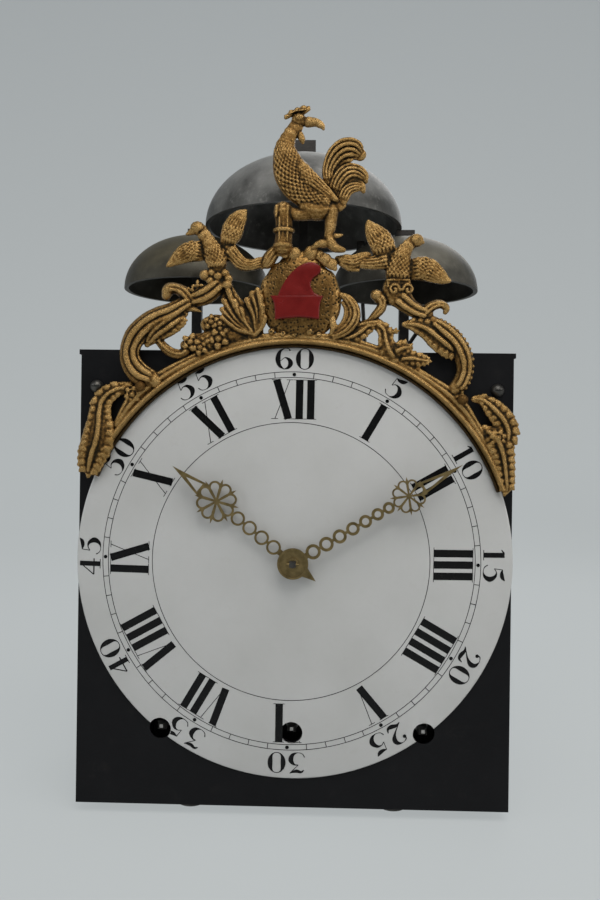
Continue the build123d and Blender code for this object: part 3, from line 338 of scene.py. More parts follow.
def drill_winding_holes(made, radius):
    """Cuts the three round winding holes through a piece of the dial."""
    for x in (-winding_spacing, 0.0, winding_spacing):
        clear_selection()
        bpy.ops.mesh.primitive_cylinder_add(vertices=64, radius=radius, depth=0.04,
                                            location=(x, -0.075, winding_z), rotation=(math.pi / 2, 0, 0))
        drill = bpy.context.object
        apply_modifier(made, "BOOLEAN", object=drill, operation="DIFFERENCE")
        bpy.data.objects.remove(drill)


def dial_front(radius):
    """Y of the enamel's front at a distance from the centre."""
    return dial_apex_y + dial_sphere - math.sqrt(dial_sphere ** 2 - radius ** 2)


section = []
for k in range(25):
    reach = centre_hole + (dial_radius - edge_round - centre_hole) * k / 24
    section.append((reach, dial_front(reach)))
edge_front = dial_front(dial_radius - edge_round)
for k in range(7):
    angle = math.pi / 2 * k / 6
    reach = dial_radius - edge_round + edge_round * math.sin(angle)
    section.append((reach, edge_front + edge_round * (1 - math.cos(angle))))
section.append((dial_radius, dial_edge_y))
section.append((dial_radius - 0.0015, dial_edge_y))
for k in range(13):
    reach = dial_radius - 0.0016 + (centre_hole - dial_radius + 0.0016) * k / 12
    section.append((reach, min(dial_edge_y, dial_front(reach) + dial_thickness)))
loop_edges = [(k, (k + 1) % len(section)) for k in range(len(section))]
enamel_dial = new_piece("enamel_dial", [(r, y, dial_centre.z) for r, y in section], loop_edges)
weld(0.00001, (240, math.tau))
drill_winding_holes(enamel_dial, 0.0069)
bpy.ops.object.shade_smooth_by_angle(angle=math.radians(35))
enamel = aged_surface("white_enamel", (0.50, 0.50, 0.485), (0.56, 0.56, 0.55), (0.40, 0.385, 0.35),
                      22, 240, (0.10, 0.17), 0.0, (0.05, 0.0002), 0.18, Coat_Weight=0.5,
                      Coat_Roughness=0.06)
enamel_dial.data.materials.append(enamel)
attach(enamel_dial, "cage")
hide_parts("dial")

black_print = aged_surface("fired_black_print", (0.002, 0.002, 0.0022), (0.004, 0.004, 0.004),
                           (0.03, 0.028, 0.026), 300, 2600, (0.2, 0.3), 0.0, (0.1, 0.0001), 0.15,
                           Specular_IOR_Level=0.2)


# Dial printing. Black enamel fired over the white: a minute ring with dots, an inner hour ring,
# roman hours and arabic minutes with fine hairlines, all read from the dial's centre.

def catmull(points, steps):
    """Points along a smooth curve through the given ones, with any width carried along."""
    rows = [np.array(p, float) for p in points]
    rows = [2 * rows[0] - rows[1]] + rows + [2 * rows[-1] - rows[-2]]
    found = []
    for k in range(1, len(rows) - 2):
        a, b, c, d = rows[k - 1:k + 3]
        for step in range(steps):
            t = step / steps
            found.append(0.5 * (2 * b + (c - a) * t + (2 * a - 5 * b + 4 * c - d) * t * t
                                + (3 * b - a - 3 * c + d) * t ** 3))
    found.append(rows[-2])
    return found


def pen(points, steps=8):
    """The left and right edge of a stroke given by X, Y and width."""
    line = catmull(points, steps) if len(points) > 2 else [np.array(p, float) for p in points]
    edges = []
    for k, here in enumerate(line):
        along = line[min(k + 1, len(line) - 1)][:2] - line[max(k - 1, 0)][:2]
        along /= np.hypot(*along) or 1
        side = np.array((-along[1], along[0])) * here[2] / 2
        edges.append((here[:2] + side, here[:2] - side))
    return edges


def bar(x, y, end_x, end_y, width):
    """A straight stroke of one width."""
    return pen([(x, y, width), (end_x, end_y, width)])


def oval(x, y, across, up, thick, thin, steps=40):
    """A closed ring whose sides are thick and whose top and bottom are hairlines."""
    edges = []
    for k in range(steps + 1):
        c, s = math.cos(math.tau * k / steps), math.sin(math.tau * k / steps)
        width = thin + (thick - thin) * abs(c) ** 1.4
        edges.append(((x + across * c, y + up * s), (x + (across - width) * c, y + (up - thin) * s)))
    return edges


def ball(x, y, radius, steps=20):
    """A filled dot."""
    return [((x + radius * math.cos(a), y + radius * math.sin(a)), (x, y))
            for a in [math.tau * k / steps for k in range(steps + 1)]]


hairline = 0.42
# Strokes of the arabic figures about their middle, as X, Y and width in millimetres
figures = {
    "0": [oval(0, 0, 5.6, 6.7, 3.1, hairline)],
    "1": [bar(0, -6.5, 0, 6.6, 3.1), bar(-3.2, -6.5, 3.2, -6.5, hairline),
          pen([(-3.3, 4.6, hairline), (-1.4, 6.0, 1.2)])],
    "2": [pen([(-3.6, 3.4, 0.9), (-3.2, 5.4, 0.6), (-0.4, 6.5, hairline), (2.7, 5.2, 2.4), (3.3, 2.4, 2.9),
               (1.0, -1.2, 1.1), (-2.6, -4.4, hairline), (-4.4, -6.2, hairline)]), ball(-3.1, 3.4, 1.1),
          pen([(-4.4, -5.9, 0.5), (-2.0, -5.0, 1.8), (1.2, -5.7, 2.7), (3.8, -5.4, 1.6),
               (4.9, -3.0, hairline)])],
    "3": [pen([(-4.4, 4.4, 0.5), (-2.6, 5.8, 1.5), (0.2, 5.2, 2.1), (3.0, 6.0, 1.1), (4.4, 6.7, 0.4)]),
          bar(4.3, 6.6, -0.8, 1.3, hairline),
          pen([(-0.9, 1.2, hairline), (1.6, 1.0, 1.1), (3.7, -1.6, 3.1), (2.9, -4.9, 2.3),
               (0.0, -6.6, hairline), (-3.2, -6.0, hairline), (-4.7, -3.8, 0.6)])],
    "4": [bar(1.7, -6.5, 1.7, 6.6, 3.0), bar(2.0, 6.6, -5.0, -2.4, 0.6),
          bar(-5.1, -2.5, 4.9, -2.5, 0.75), bar(-1.2, -6.5, 4.6, -6.5, hairline)],
    "5": [pen([(-2.0, 5.4, 0.5), (0.4, 5.0, 2.1), (2.9, 5.5, 2.3), (4.8, 6.9, 0.4)]),
          bar(-2.0, 5.6, -2.7, 0.4, hairline),
          pen([(-2.7, 0.3, hairline), (-0.4, 1.6, 0.6), (2.2, 0.8, 1.9), (3.8, -2.4, 3.2), (2.3, -5.4, 2.0),
               (-0.6, -6.6, hairline), (-3.5, -5.9, hairline), (-4.9, -3.8, 0.6)])],
    "6": [pen([(3.4, 5.0, 0.9), (2.2, 6.3, 0.5), (-0.2, 6.4, hairline), (-3.0, 4.3, 1.9), (-4.1, 0.0, 3.2),
               (-3.1, -4.2, 2.2), (-0.2, -6.6, hairline)]),
          pen([(-2.4, -1.4, hairline), (0.2, 0.6, 0.6), (2.7, -0.5, 2.0), (3.8, -3.0, 3.0), (2.4, -5.5, 1.8),
               (-0.2, -6.6, hairline)])],
}
stem_width, serif_width = 4.6, 0.34
hour_inside, hour_outside = 87.8, 112.0
hour_middle = (hour_inside + hour_outside) / 2
hour_half = (hour_outside - hour_inside) / 2


def hour_strokes(text):
    """Roman figures side by side, drawn about the middle of their band."""
    widths = {"I": 7.0, "V": 13.4, "X": 14.0}
    place = -sum(widths[letter] for letter in text) / 2
    h = hour_half
    found = []
    for letter in text:
        middle = place + widths[letter] / 2
        if letter == "I":
            found.append(bar(middle, -h, middle, h, stem_width))
            found += [bar(middle - 3.6, s * h, middle + 3.6, s * h, serif_width) for s in (-1, 1)]
        else:
            low = -h if letter == "X" else -h + 0.2
            ends = (middle - 3.9, middle + 3.9) if letter == "X" else (middle - 3.9, middle + 0.5)
            found.append(bar(ends[0], h, ends[1], low, stem_width))
            other = (middle + 4.4, middle - 4.4) if letter == "X" else (middle + 4.6, middle + 1.2)
            found.append(bar(other[0], h, other[1], low, hairline))
            found.append(bar(middle - 7.0, h, middle - 0.9, h, serif_width))
            found.append(bar(middle + 2.4, h, middle + 6.6, h, serif_width))
            if letter == "X":
                found.append(bar(middle + 0.9, -h, middle + 7.0, -h, serif_width))
                found.append(bar(middle - 6.6, -h, middle - 2.4, -h, serif_width))
        place += widths[letter]
    return found


def sixth_hour_strokes():
    """The VI is drawn wider apart than the others, and the middle winding hole cuts through it."""
    h = hour_half
    found = [bar(5.2, -h, 5.2, h, stem_width), bar(-3.6, h, -6.3, -h, stem_width),
             bar(-7.6, h, -6.5, -h, hairline)]
    found += [bar(1.8, s * h, 8.8, s * h, serif_width) for s in (-1, 1)]
    return found + [bar(-9.0, h, -0.6, h, serif_width)]


print_slip = -1.7
print_twist = 0.4
print_depth = 0.00003


def print_on_dial(name, marks):
    """Each mark is a strip with its place across, its distance out and its clock angle."""
    points, faces = [], []
    for strip, across, out, degrees in marks:
        turn = math.radians(degrees + print_twist)
        c, s = math.cos(turn), math.sin(turn)
        for left, right in strip:
            for u, v in (left, right):
                x = ((u + across) * c + (v + out) * s + print_slip) / 1000
                z = (-(u + across) * s + (v + out) * c) / 1000
                points.append((x, dial_front(math.hypot(x, z)) + print_depth, dial_centre.z + z))
        base = len(points) - 2 * len(strip)
        faces += [(k, k + 1, k + 3, k + 2) for k in range(base, len(points) - 2, 2)]
    made = new_piece(name, points, faces=faces)
    weld(0.000002, face_out=False)
    working = bmesh.new()
    working.from_mesh(made.data)
    for face in working.faces:
        face.normal_update()
        if face.normal.y > 0:
            face.normal_flip()
    working.to_mesh(made.data)
    working.free()
    apply_modifier(made, "SOLIDIFY", thickness=0.00012, offset=1)
    drill_winding_holes(made, 0.0071)
    made.data.materials.append(black_print)
    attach(made, "cage")


def ring(radius, width, steps=360):
    """A thin circle round the dial's centre."""
    return [((radius - width / 2) * np.array((math.sin(a), math.cos(a))),
             (radius + width / 2) * np.array((math.sin(a), math.cos(a))))[::-1]
            for a in [math.tau * k / steps for k in range(steps + 1)]]


track = [(ring(r, 0.36), 0, 0, 0) for r in (85.5, 113.5, 117.0)]
for minute in range(60):
    if minute % 5:
        track.append((bar(0, 113.5, 0, 117.0, 0.42), 0, 0, 6 * minute))
    else:
        track.append((ball(0, 115.3, 1.15), 0, 0, 6 * minute))
print_on_dial("minute_ring", track)
hours = []
for hour, text in enumerate(("XII", "I", "II", "III", "IIII", "V", "VI", "VII", "VIII", "IX", "X", "XI")):
    strokes = sixth_hour_strokes() if text == "VI" else hour_strokes(text)
    hours += [(strip, 0, hour_middle, 30 * hour) for strip in strokes]
print_on_dial("roman_hours", hours)
minutes = []
for five in range(1, 13):
    text = str(5 * five)
    widths = [9.4 if letter == "1" else 12.6 for letter in text]
    place = -sum(widths) / 2
    for letter, width in zip(text, widths):
        minutes += [(strip, place + width / 2, 125.2, 30 * five) for strip in figures[letter]]
        place += width
print_on_dial("arabic_minutes", minutes)


# Hands. Pierced and filed from thin brass, now brown with age: a chain of rings, a flower of
# eight petals and a split point. A dished collet and a taper pin hold them.
hand_brass = aged_surface("brown_hand_brass", (0.13, 0.095, 0.040), (0.29, 0.215, 0.095),
                          (0.035, 0.025, 0.012), 260, 2200, (0.34, 0.52), 0.9, (0.35, 0.0003), 0.5)
finish(hand_brass, "hour_hand", "minute_hand", "hand_collet")


# Pediment. One brass casting, chased, gilt and worn: leaf scrolls, doves and flowers on an arched
# rim round a stippled medallion. It is held off the sheet by two riveted spacers.

def along(stroke, step=0.7):
    """A stroke of X, Z and half-width in millimetres, sampled evenly along its smooth line."""
    rows = np.array(catmull(stroke, 16) if len(stroke) > 2 else [np.array(p, float) for p in stroke])
    run = np.concatenate([[0], np.cumsum(np.hypot(*np.diff(rows[:, :2], axis=0).T))])
    places = np.linspace(0, run[-1], max(3, int(run[-1] / step) + 1))
    rows = np.stack([np.interp(places, run, rows[:, k]) for k in range(3)], axis=1)
    heading = np.gradient(rows[:, :2], axis=0)
    heading /= np.maximum(np.hypot(*heading.T)[:, None], 1e-9)
    return rows[:, :2], np.maximum(rows[:, 2], 0.3), heading, places


def add_tube(store, line, across, deep, front, sides=10, blunt=1.0):
    """A closed bar along a line. Across and deep are its half-sizes, front its middle's Y."""
    line = np.asarray(line, float)
    across, deep, front = (np.broadcast_to(np.asarray(v, float), len(line)) for v in (across, deep, front))
    heading = np.gradient(line, axis=0)
    heading /= np.maximum(np.hypot(*heading.T)[:, None], 1e-9)
    rings = []
    for sign, k in ((-1, 0), (1, len(line) - 1)):
        cap = [(line[k] + sign * heading[k] * across[k] * blunt * math.sin(t), across[k] * math.cos(t),
                deep[k] * math.cos(t), front[k], heading[k]) for t in (1.35, 1.0, 0.6)]
        rings.append(cap if sign < 0 else cap[::-1])
    body = [(line[k], across[k], deep[k], front[k], heading[k]) for k in range(len(line))]
    chain = rings[0] + body + rings[1]
    base = len(store[0])
    for place, wide, tall, y, way in chain:
        for k in range(sides):
            angle = math.tau * k / sides
            c, d = wide * math.cos(angle), tall * math.sin(angle)
            store[0].append((place[0] - way[1] * c, y - d, place[1] + way[0] * c))
    for ring_index in range(len(chain) - 1):
        for k in range(sides):
            a = base + ring_index * sides + k
            b = base + ring_index * sides + (k + 1) % sides
            store[1].append((a, b, b + sides, a + sides))
    store[1].append(tuple(base + k for k in reversed(range(sides))))
    last = base + (len(chain) - 1) * sides
    store[1].append(tuple(last + k for k in range(sides)))


def add_ball(store, x, y, z, radius, flat=1.0):
    """A ball, flattened from front to back."""
    line = [(x - 0.01, z), (x + 0.01, z)]
    add_tube(store, line, radius, radius * flat, y, 12)


# Y of the middle of most bodies in the relief, in millimetres
relief_y = -76.6


def body_depth(half, roundness):
    """Half the thickness of a body from front to back."""
    return np.clip(roundness * half, 1.1, 4.6)


def add_body(store, stroke, y=relief_y, roundness=0.8):
    """A smooth bar of the stroke's own width."""
    line, half = along(stroke)[:2]
    add_tube(store, line, half, body_depth(half, roundness), y, 16)


def add_form(store, stroke, roundness, least, most, y, sides):
    """A bar whose half-thickness follows its width between two limits."""
    line, half = along(stroke)[:2]
    add_tube(store, line, half, np.clip(half * roundness, least, most), y, sides)


def on_surface(line, half, heading, share, y, roundness):
    """A line laid on the front of a body at a share of its half-width."""
    side = np.stack([-heading[:, 1], heading[:, 0]], axis=1)
    place = line + side * (half * share)[:, None]
    front = y - body_depth(half, roundness) * np.sqrt(np.maximum(0.0, 1 - share ** 2))
    return place, front


def add_reeds(store, stroke, shares, y=relief_y, roundness=0.8, size=0.75, ends=(0.05, 0.95), proud=0.15):
    """Raised ribs that run the length of a scroll, leaf or feather."""
    line, half, heading = along(stroke)[:3]
    gap = min(np.diff(sorted(shares))) if len(shares) > 1 else 0.5
    for share in shares:
        place, front = on_surface(line, half, heading, share, y, roundness)
        n = len(line)
        a, b = int(ends[0] * n), max(int(ends[0] * n) + 3, int(ends[1] * n))
        width = np.clip(half[a:b] * gap * 0.47, 0.35, 2.2 * size)
        add_tube(store, place[a:b], width, 0.25 + width * 0.5, front[a:b] + 0.1 - 0.4 * proud, 8)


def add_ribbed(store, stroke, y, roundness, shares, size=0.75, ends=(0.05, 0.95), proud=0.15):
    """A body with raised ribs along it."""
    add_body(store, stroke, y, roundness)
    add_reeds(store, stroke, shares, y, roundness, size, ends, proud)


def add_scales(store, stroke, rows, y=relief_y, roundness=0.8, pitch=2.0, length=2.4, size=0.85,
               ends=(0.0, 1.0), lift=0.35):
    """Rows of small overlapping feathers along a body, each with a raised end."""
    line, half, heading, run = along(stroke, 0.5)
    side = np.stack([-heading[:, 1], heading[:, 0]], axis=1)
    count = max(1, int(run[-1] * (ends[1] - ends[0]) / pitch))
    for k in range(count):
        for row in range(rows):
            share = -0.85 + 1.7 * (row + 0.5 * (k % 2)) / max(1, rows - 0.5)
            if abs(share) > 0.9:
                continue
            here = run[-1] * ends[0] + k * pitch
            spots = np.clip(here + np.linspace(0, length, 4), 0, run[-1])
            place, front = [], []
            for spot in spots:
                i = min(len(run) - 1, int(np.searchsorted(run, spot)))
                place.append(line[i] + side[i] * half[i] * share)
                deep = float(body_depth(half[i], roundness)) * math.sqrt(max(0.0, 1 - share ** 2))
                front.append(y - deep)
            place = np.array(place) + np.linspace(0, 0.02, 4)[:, None] * heading[0]
            front = np.array(front) - np.linspace(-0.1, lift, 4)
            if np.hypot(*(place[-1] - place[0])) > 0.6:
                across, deep = np.array((0.5, 0.8, 1.0, 0.9)), np.array((0.5, 0.7, 0.8, 0.6))
                add_tube(store, place, size * across, size * deep, front, 8)


def add_lobes(store, stroke, sides=(-1, 1), y=relief_y, pitch=4.2, reach=0.85, spread=42, size=0.34,
              ends=(0.08, 0.92)):
    """Side leaflets along a leaf, each slanting forward with a rounded end."""
    line, half, heading, run = along(stroke)
    count = max(1, int(run[-1] * (ends[1] - ends[0]) / pitch))
    for k in range(count + 1):
        i = min(len(line) - 1, int(np.searchsorted(run, run[-1] * ends[0] + k * pitch)))
        for sign in sides:
            turn = math.radians(spread) * sign
            way = heading[i]
            out = np.array((way[0] * math.cos(turn) - way[1] * math.sin(turn),
                            way[0] * math.sin(turn) + way[1] * math.cos(turn)))
            side = np.array((-way[1], way[0])) * sign
            start = line[i] + side * half[i] * 0.35
            steps = np.linspace(0, 1, 5)[:, None]
            length = half[i] * reach + 1.0
            place = start + out * steps * length
            width = np.maximum(half[i] * size, 0.8) * np.array((0.7, 1.0, 1.1, 0.9, 0.45))
            add_tube(store, place, width, width * 0.6, y - 1.0, 10)


def add_beads(store, stroke, share, y=relief_y, roundness=0.8, pitch=2.6, size=1.0):
    """A string of round beads along one side of a scroll."""
    line, half, heading, run = along(stroke)
    place, front = on_surface(line, half, heading, share, y, roundness)
    for spot in np.arange(pitch, run[-1] - pitch / 2, pitch):
        i = int(np.searchsorted(run, spot))
        add_ball(store, place[i][0], front[i], place[i][1], size)


def cast_piece(name, store, grain, back=None, clouds=0.00035):
    """Melts the gathered bars into one casting and notes its hollows. The back is cut flat if given."""
    behind = 1000 if back is None else back * 1000
    points = [(x / 1000, min(y, behind) / 1000, z / 1000) for x, y, z in store[0]]
    made = new_piece(name, points, faces=store[1])
    apply_modifier(made, "REMESH", mode="VOXEL", voxel_size=grain)
    apply_modifier(made, "SMOOTH", factor=0.5, iterations=2)
    uneven_skin = bpy.data.textures.get("cast_skin") or bpy.data.textures.new("cast_skin", type="CLOUDS")
    uneven_skin.noise_scale = 0.0022
    apply_modifier(made, "DISPLACE", texture=uneven_skin, texture_coords="LOCAL", strength=clouds,
                   mid_level=0.5)
    note_hollows(made)
    bpy.ops.object.shade_smooth()
    return made


def read_rows(items, key, width, kind=float):
    """An attribute of a mesh's points or edges as rows of numbers."""
    found = np.empty(len(items) * width, kind)
    items.foreach_get(key, found)
    return found.reshape(-1, width)


# Smoothing rounds after which each hollow is measured, and the depth that counts as a full one
hollow_scales = {"hollow_near": (5, 0.00016), "hollow_wide": (36, 0.0007)}


def note_hollows(made):
    """Stores how hollow the surface is at each point, close by and more widely, from -1 to 1."""
    mesh = made.data
    count = len(mesh.vertices)
    place = read_rows(mesh.vertices, "co", 3)
    facing = read_rows(mesh.vertices, "normal", 3)
    ends = read_rows(mesh.edges, "vertices", 2, int)
    one = np.concatenate([ends[:, 0], ends[:, 1]])
    other = np.concatenate([ends[:, 1], ends[:, 0]])
    share = np.maximum(np.bincount(one, minlength=count), 1)
    smooth = place.copy()
    done = 0
    for name, (rounds, depth) in hollow_scales.items():
        while done < rounds:
            smooth = np.stack([np.bincount(one, smooth[other, k], count) / share for k in range(3)], axis=1)
            done += 1
        hollow = ((smooth - place) * facing).sum(1) / depth
        attribute = mesh.attributes.new(name, "FLOAT", "POINT")
        attribute.data.foreach_set("value", np.clip(hollow, -1, 1).astype(np.float32))


# Strokes of the pediment's relief on each side, as X, Z and half-width in millimetres
left_scrolls = {
    "end_leaf": [(-104.1, 260.3, 3.7), (-112.1, 258.3, 4.9), (-118.9, 252.7, 5.9), (-120.9, 245.2, 6.4),
        (-121.2, 236.6, 8.5), (-122.3, 227.9, 9.1), (-125.1, 219.2, 7.6), (-127.1, 211.8, 5.6),
        (-128.2, 204.7, 1.3)],
    "rosette": [(-100.8, 255.7, 4.2)],
    "scroll": [(-88, 264.8, 5.4), (-96.7, 268.7, 7), (-102.2, 275.7, 6.6), (-103.1, 283.8, 6.3),
        (-99.5, 292.4, 7), (-92.8, 299.3, 7), (-85.4, 303.7, 6.8), (-78, 306.8, 6.2), (-70.6, 311.2, 5.1),
        (-63.9, 315.6, 4.2)],
    "scroll_leaf": [(-92.1, 287, 2.2), (-87.2, 293.2, 5.5), (-80.5, 298.2, 6.8), (-74.3, 302.6, 5.2),
        (-68.2, 305.7, 1.3)],
    "tip": [(-71.9, 309.1, 2.7), (-65.1, 309.2, 2), (-58.8, 307.3, 0.5)],
    "curl": [(-65.7, 314.4, 3.9), (-70.1, 319.3, 3.9), (-75, 321.7, 3.5), (-79.4, 321.1, 3.9),
        (-80.8, 317.6, 3.1)],
    "bud": [(-64.7, 320.5, 3.2), (-61.2, 323.3, 3), (-59.3, 319.6, 2.6), (-63.1, 316.8, 3)],
    "perch": [(-64.6, 314.8, 4.7), (-57.2, 317.3, 5.9), (-51, 321.7, 5.6), (-46.8, 325.8, 4.7)],
    "berries": [(-56.7, 329.9, 3.7), (-52.2, 331.1, 3.2), (-48.7, 329, 3), (-44.7, 330.9, 3.2),
        (-42.2, 327.5, 2.8), (-43, 323.8, 3.2), (-47.4, 324.6, 3), (-53, 326.2, 3)],
    "stem": [(-43, 322.6, 3.5), (-41.4, 317, 5.2), (-37.9, 309.7, 6.7), (-32.9, 302.3, 7.6),
        (-27, 295.6, 5.7)],
    "fan": [(-22, 320.3, 1.2), (-26, 315.9, 4.2), (-27.7, 309.1, 5.4), (-25.9, 302.4, 5.4),
        (-23.5, 295, 3.4)],
    "fan_base": [(-25, 293.1)],
    "fan_ends": [(-45.6, 303.4), (-45.7, 308.4), (-44.8, 313.9), (-42.1, 320.1), (-38, 313.4), (-34.1, 308.7),
        (-30.6, 314.6), (-27.5, 318.6), (-24.1, 320.6), (-22, 316.6), (-20.5, 310.4), (-19.3, 303.7)],
    "flowers": [(-68.5, 286.6, 3.6), (-63, 287.8, 6.1), (-56.8, 287.9, 6.8), (-50.6, 291, 7.1),
        (-44.5, 294.2, 7.1), (-38.3, 294.2, 6.1), (-30.9, 293.1, 3.6)],
    "flowers_top": [(-54.5, 299.7, 5.1), (-49.5, 300.3, 5.8), (-44.6, 298.5, 5.6)],
    "rosettes": [(-65.2, 288.4, 4.7), (-59.2, 285.1, 4.1), (-54.8, 289, 3.5), (-47.9, 290.5, 5.3),
        (-52.6, 300.9, 4.1), (-47.1, 300, 3.8), (-43.3, 295.4, 3.5)],
    "link": [(-86, 290.7, 2.5), (-82.2, 285.8, 2.9), (-76.5, 281.9, 3.1), (-70.9, 281.2, 2.9),
        (-67.9, 283.5, 2.5)],
    "dove": [(-60.3, 358.5, 3.9), (-56, 352.3, 4.4), (-52.8, 346.1, 6), (-50.1, 340.3, 7.4),
        (-49.5, 335.1, 5.8)],
    "head": [(-61.9, 358.9, 4.5)],
    "beak": [(-63.3, 357.9, 3), (-66.1, 356.2, 2), (-68.3, 355.1, 1)],
    "wing": [(-43.3, 349.2, 4.8), (-40.8, 355.5, 6.8), (-38.3, 361.8, 6.2), (-34.7, 367, 4.3),
        (-31.8, 370.1, 0.8)],
    "low_wing": [(-59.5, 344.5, 6.2), (-64.2, 344.7, 6.8), (-69.4, 343, 6), (-74.6, 339.7, 4.3),
        (-80.3, 335.4, 1)],
    "tail": [(-42.2, 345.7, 5.1), (-38.5, 341.5, 4.5), (-34.3, 337.4, 4.3), (-28.5, 336.4, 3.7),
        (-23.4, 338, 3.4), (-20.2, 339.1, 2.9)],
    "volute": [(-21.3, 335.5, 1.7), (-18.6, 337.8, 4), (-16.4, 341.7, 4.4), (-13.3, 345.2, 3.7),
        (-10.3, 346.3, 2.6)],
    "collar": [(-11.4, 344.4, 2), (-7.5, 343.7, 2.3), (-1.8, 343.5, 2.9), (1.7, 342.6, 1.1)],
}
right_scrolls = {
    "collar": [(4.8, 343, 1.4), (8.6, 343.8, 3.2), (13.2, 342.7, 2.3), (17.1, 340, 2.8), (21, 337.3, 2.6),
        (23.3, 334.3, 1.1)],
    "tail": [(25.2, 340.8, 2.1), (29.4, 339.7, 3.9), (34.8, 339, 4.3), (39.3, 340.9, 3.9),
        (43.1, 342.9, 2.6)],
    "tail_low": [(27.1, 338.1, 2.1), (32.5, 335.3, 2.5), (37.9, 333.5, 0.8)],
    "shell": [(27.4, 318.6, 1.7), (31.6, 315.9, 2.9), (35.1, 310.6, 3.6), (35.6, 304.4, 3.9),
        (32.2, 298.3, 3.7), (26.9, 294.4, 2.9), (20.8, 292.4, 1.6)],
    "shell_inner": [(28.6, 313.6, 1.4), (31.1, 309.8, 2.2), (31, 304.4, 2.6), (28.4, 299.8, 2.3),
        (23.8, 295.9, 1.8)],
    "shell_small": [(22.5, 304.7, 1.6), (22.4, 301.3, 2.3), (22.9, 297.4, 2.3), (21.5, 293.6, 1.6)],
    "leaf": [(28.5, 291.7, 2.3), (33.8, 292.9, 3.9), (39.1, 296, 4.7), (43.7, 299.9, 4), (47.5, 302.1, 2.9),
        (51.3, 302.1, 2)],
    "stem": [(44.4, 302.6, 1.4), (48.2, 306.1, 2.6), (51.6, 309.9, 3.1), (52.7, 313.8, 3.2),
        (50.7, 317.2, 3.9)],
    "bulb": [(48.9, 318.5, 3.7)],
    "urn": [(62.2, 328.3, 7.4), (62, 324, 9.1), (61.8, 319.7, 8.4), (65.8, 315.4, 6.4), (69.5, 311.8, 5.2)],
    "urn_spiral": [(63.9, 322.8, 3.2)],
    "perch": [(63.4, 316.5, 6.1), (68.3, 312.5, 5.4), (73.8, 309.2, 4.9), (80, 307.2, 4.2)],
    "curl": [(78.1, 308.2, 3.4), (82.9, 311.9, 3.2), (88.4, 313.4, 2.7), (92.1, 311, 2.2),
        (91.3, 308.3, 1.5)],
    "acanthus": [(66.6, 300.7, 2), (73.3, 300.2, 4.8), (80.7, 297.2, 6.2), (86.8, 292.3, 6.8),
        (93, 287.5, 6), (97.9, 283.3, 3.1)],
    "scroll": [(83.5, 302.5, 3.9), (92.7, 295.3, 5.7), (99.5, 288, 5.7), (103.2, 279.5, 5.5),
        (103.7, 272.1, 5), (101.4, 265.4, 5), (98, 261.1, 4.5)],
    "rosette": [(101.1, 254.6, 3.7), (106.6, 251.6, 5.1), (111.2, 249.5, 3.3)],
    "end_leaf": [(110, 255.3, 2.2), (114.9, 254.7, 3.7), (121, 249.9, 5.7), (127.2, 242.7, 6.3),
        (130.3, 235.4, 5.9), (129.8, 228.7, 4.6)],
    "end_leaf_low": [(116.7, 236.4, 3.5), (122.9, 231.6, 7.3), (126.4, 224.3, 6.5), (128.4, 215.8, 5.4),
        (129.5, 207.2, 4.6), (130.1, 201.2, 3.5), (128.9, 196.9, 1.1)],
    "end_rose": [(124.1, 231.6, 4.2)],
    "dove": [(71.2, 352.2, 3.7), (66.9, 347.3, 4.3), (63.6, 341.2, 6.7), (62.5, 335, 8.1), (62, 329.5, 7.6)],
    "head": [(73.2, 352.2, 4.3)],
    "beak": [(74.5, 352.9, 2.5), (77.2, 350.8, 1)],
    "wing": [(53.9, 344.5, 7.2), (51.7, 350.6, 7.8), (47.9, 355.8, 6.5), (44.7, 360.7, 3.9),
        (43.2, 364.1, 0.9)],
    "low_wing": [(71.5, 334.5, 6.9), (78.2, 334.9, 7.6), (84.3, 332, 6.3), (90.4, 328.6, 3.6),
        (94.1, 327.3, 0.9)],
    "tail_root": [(55.1, 339.9, 5.7), (46.6, 338.3, 4.4), (39.2, 338.3, 3.7)],
    "small_leaf": [(50.1, 300.6, 3.7), (53.8, 296.9, 3.9), (55.1, 290.8, 4.5), (57, 284.7, 5.4),
        (60.1, 279.8, 4.5)],
    "small_tip": [(56.3, 295.5, 2.7), (59.9, 296.2, 1.7), (63.3, 296.8, 0.6)],
    "small_side": [(61.9, 284.1, 5), (66.8, 286.3, 3.8), (70.8, 286.3, 1.4)],
    "small_low": [(65, 279.3, 3.2), (71.1, 279.7, 4.2), (77.3, 278.8, 2.9), (82.9, 278.1, 1)],
    "link": [(37.9, 298.4, 2.7), (42.8, 300.2, 3.1), (50.1, 301.5, 2.3)],
}


def add_ribs(store, base, ends, y, size=0.75, bow=0.16):
    """Ribs of a palmette, fanned out from its foot with a slight bow."""
    for k, end in enumerate(ends):
        foot, tip = np.array(base, float), np.array(end, float)
        side = np.array((-(tip - foot)[1], (tip - foot)[0])) * bow * (1 if k < len(ends) / 2 else -1)
        stroke = [(*foot, 0.7), (*(foot + (tip - foot) * 0.5 + side * 0.5), 1.75), (*tip, 1.9)]
        line, half = along(stroke)[:2]
        front = np.linspace(y + 0.8, y - 0.6, len(line))
        add_tube(store, line, half * size / 0.75, 0.7 * half * size / 0.75, front, 8)
        add_tube(store, line, 0.45, 0.45, front - 0.7 * half, 6)


def add_flower(store, x, z, size, y, petals=6, turn=0.3):
    """A small rosette: a button with petals round it."""
    add_ball(store, x, y - 1.0, z, size * 0.34)
    for k in range(petals):
        angle = turn + math.tau * k / petals
        out = np.array((math.cos(angle), math.sin(angle)))
        line = np.array((x, z)) + np.array([out * size * t for t in (0.42, 0.62, 0.82)])
        across, deep = np.array((0.24, 0.42, 0.34)), np.array((0.16, 0.3, 0.24))
        add_tube(store, line, size * across, size * deep, y, 8)


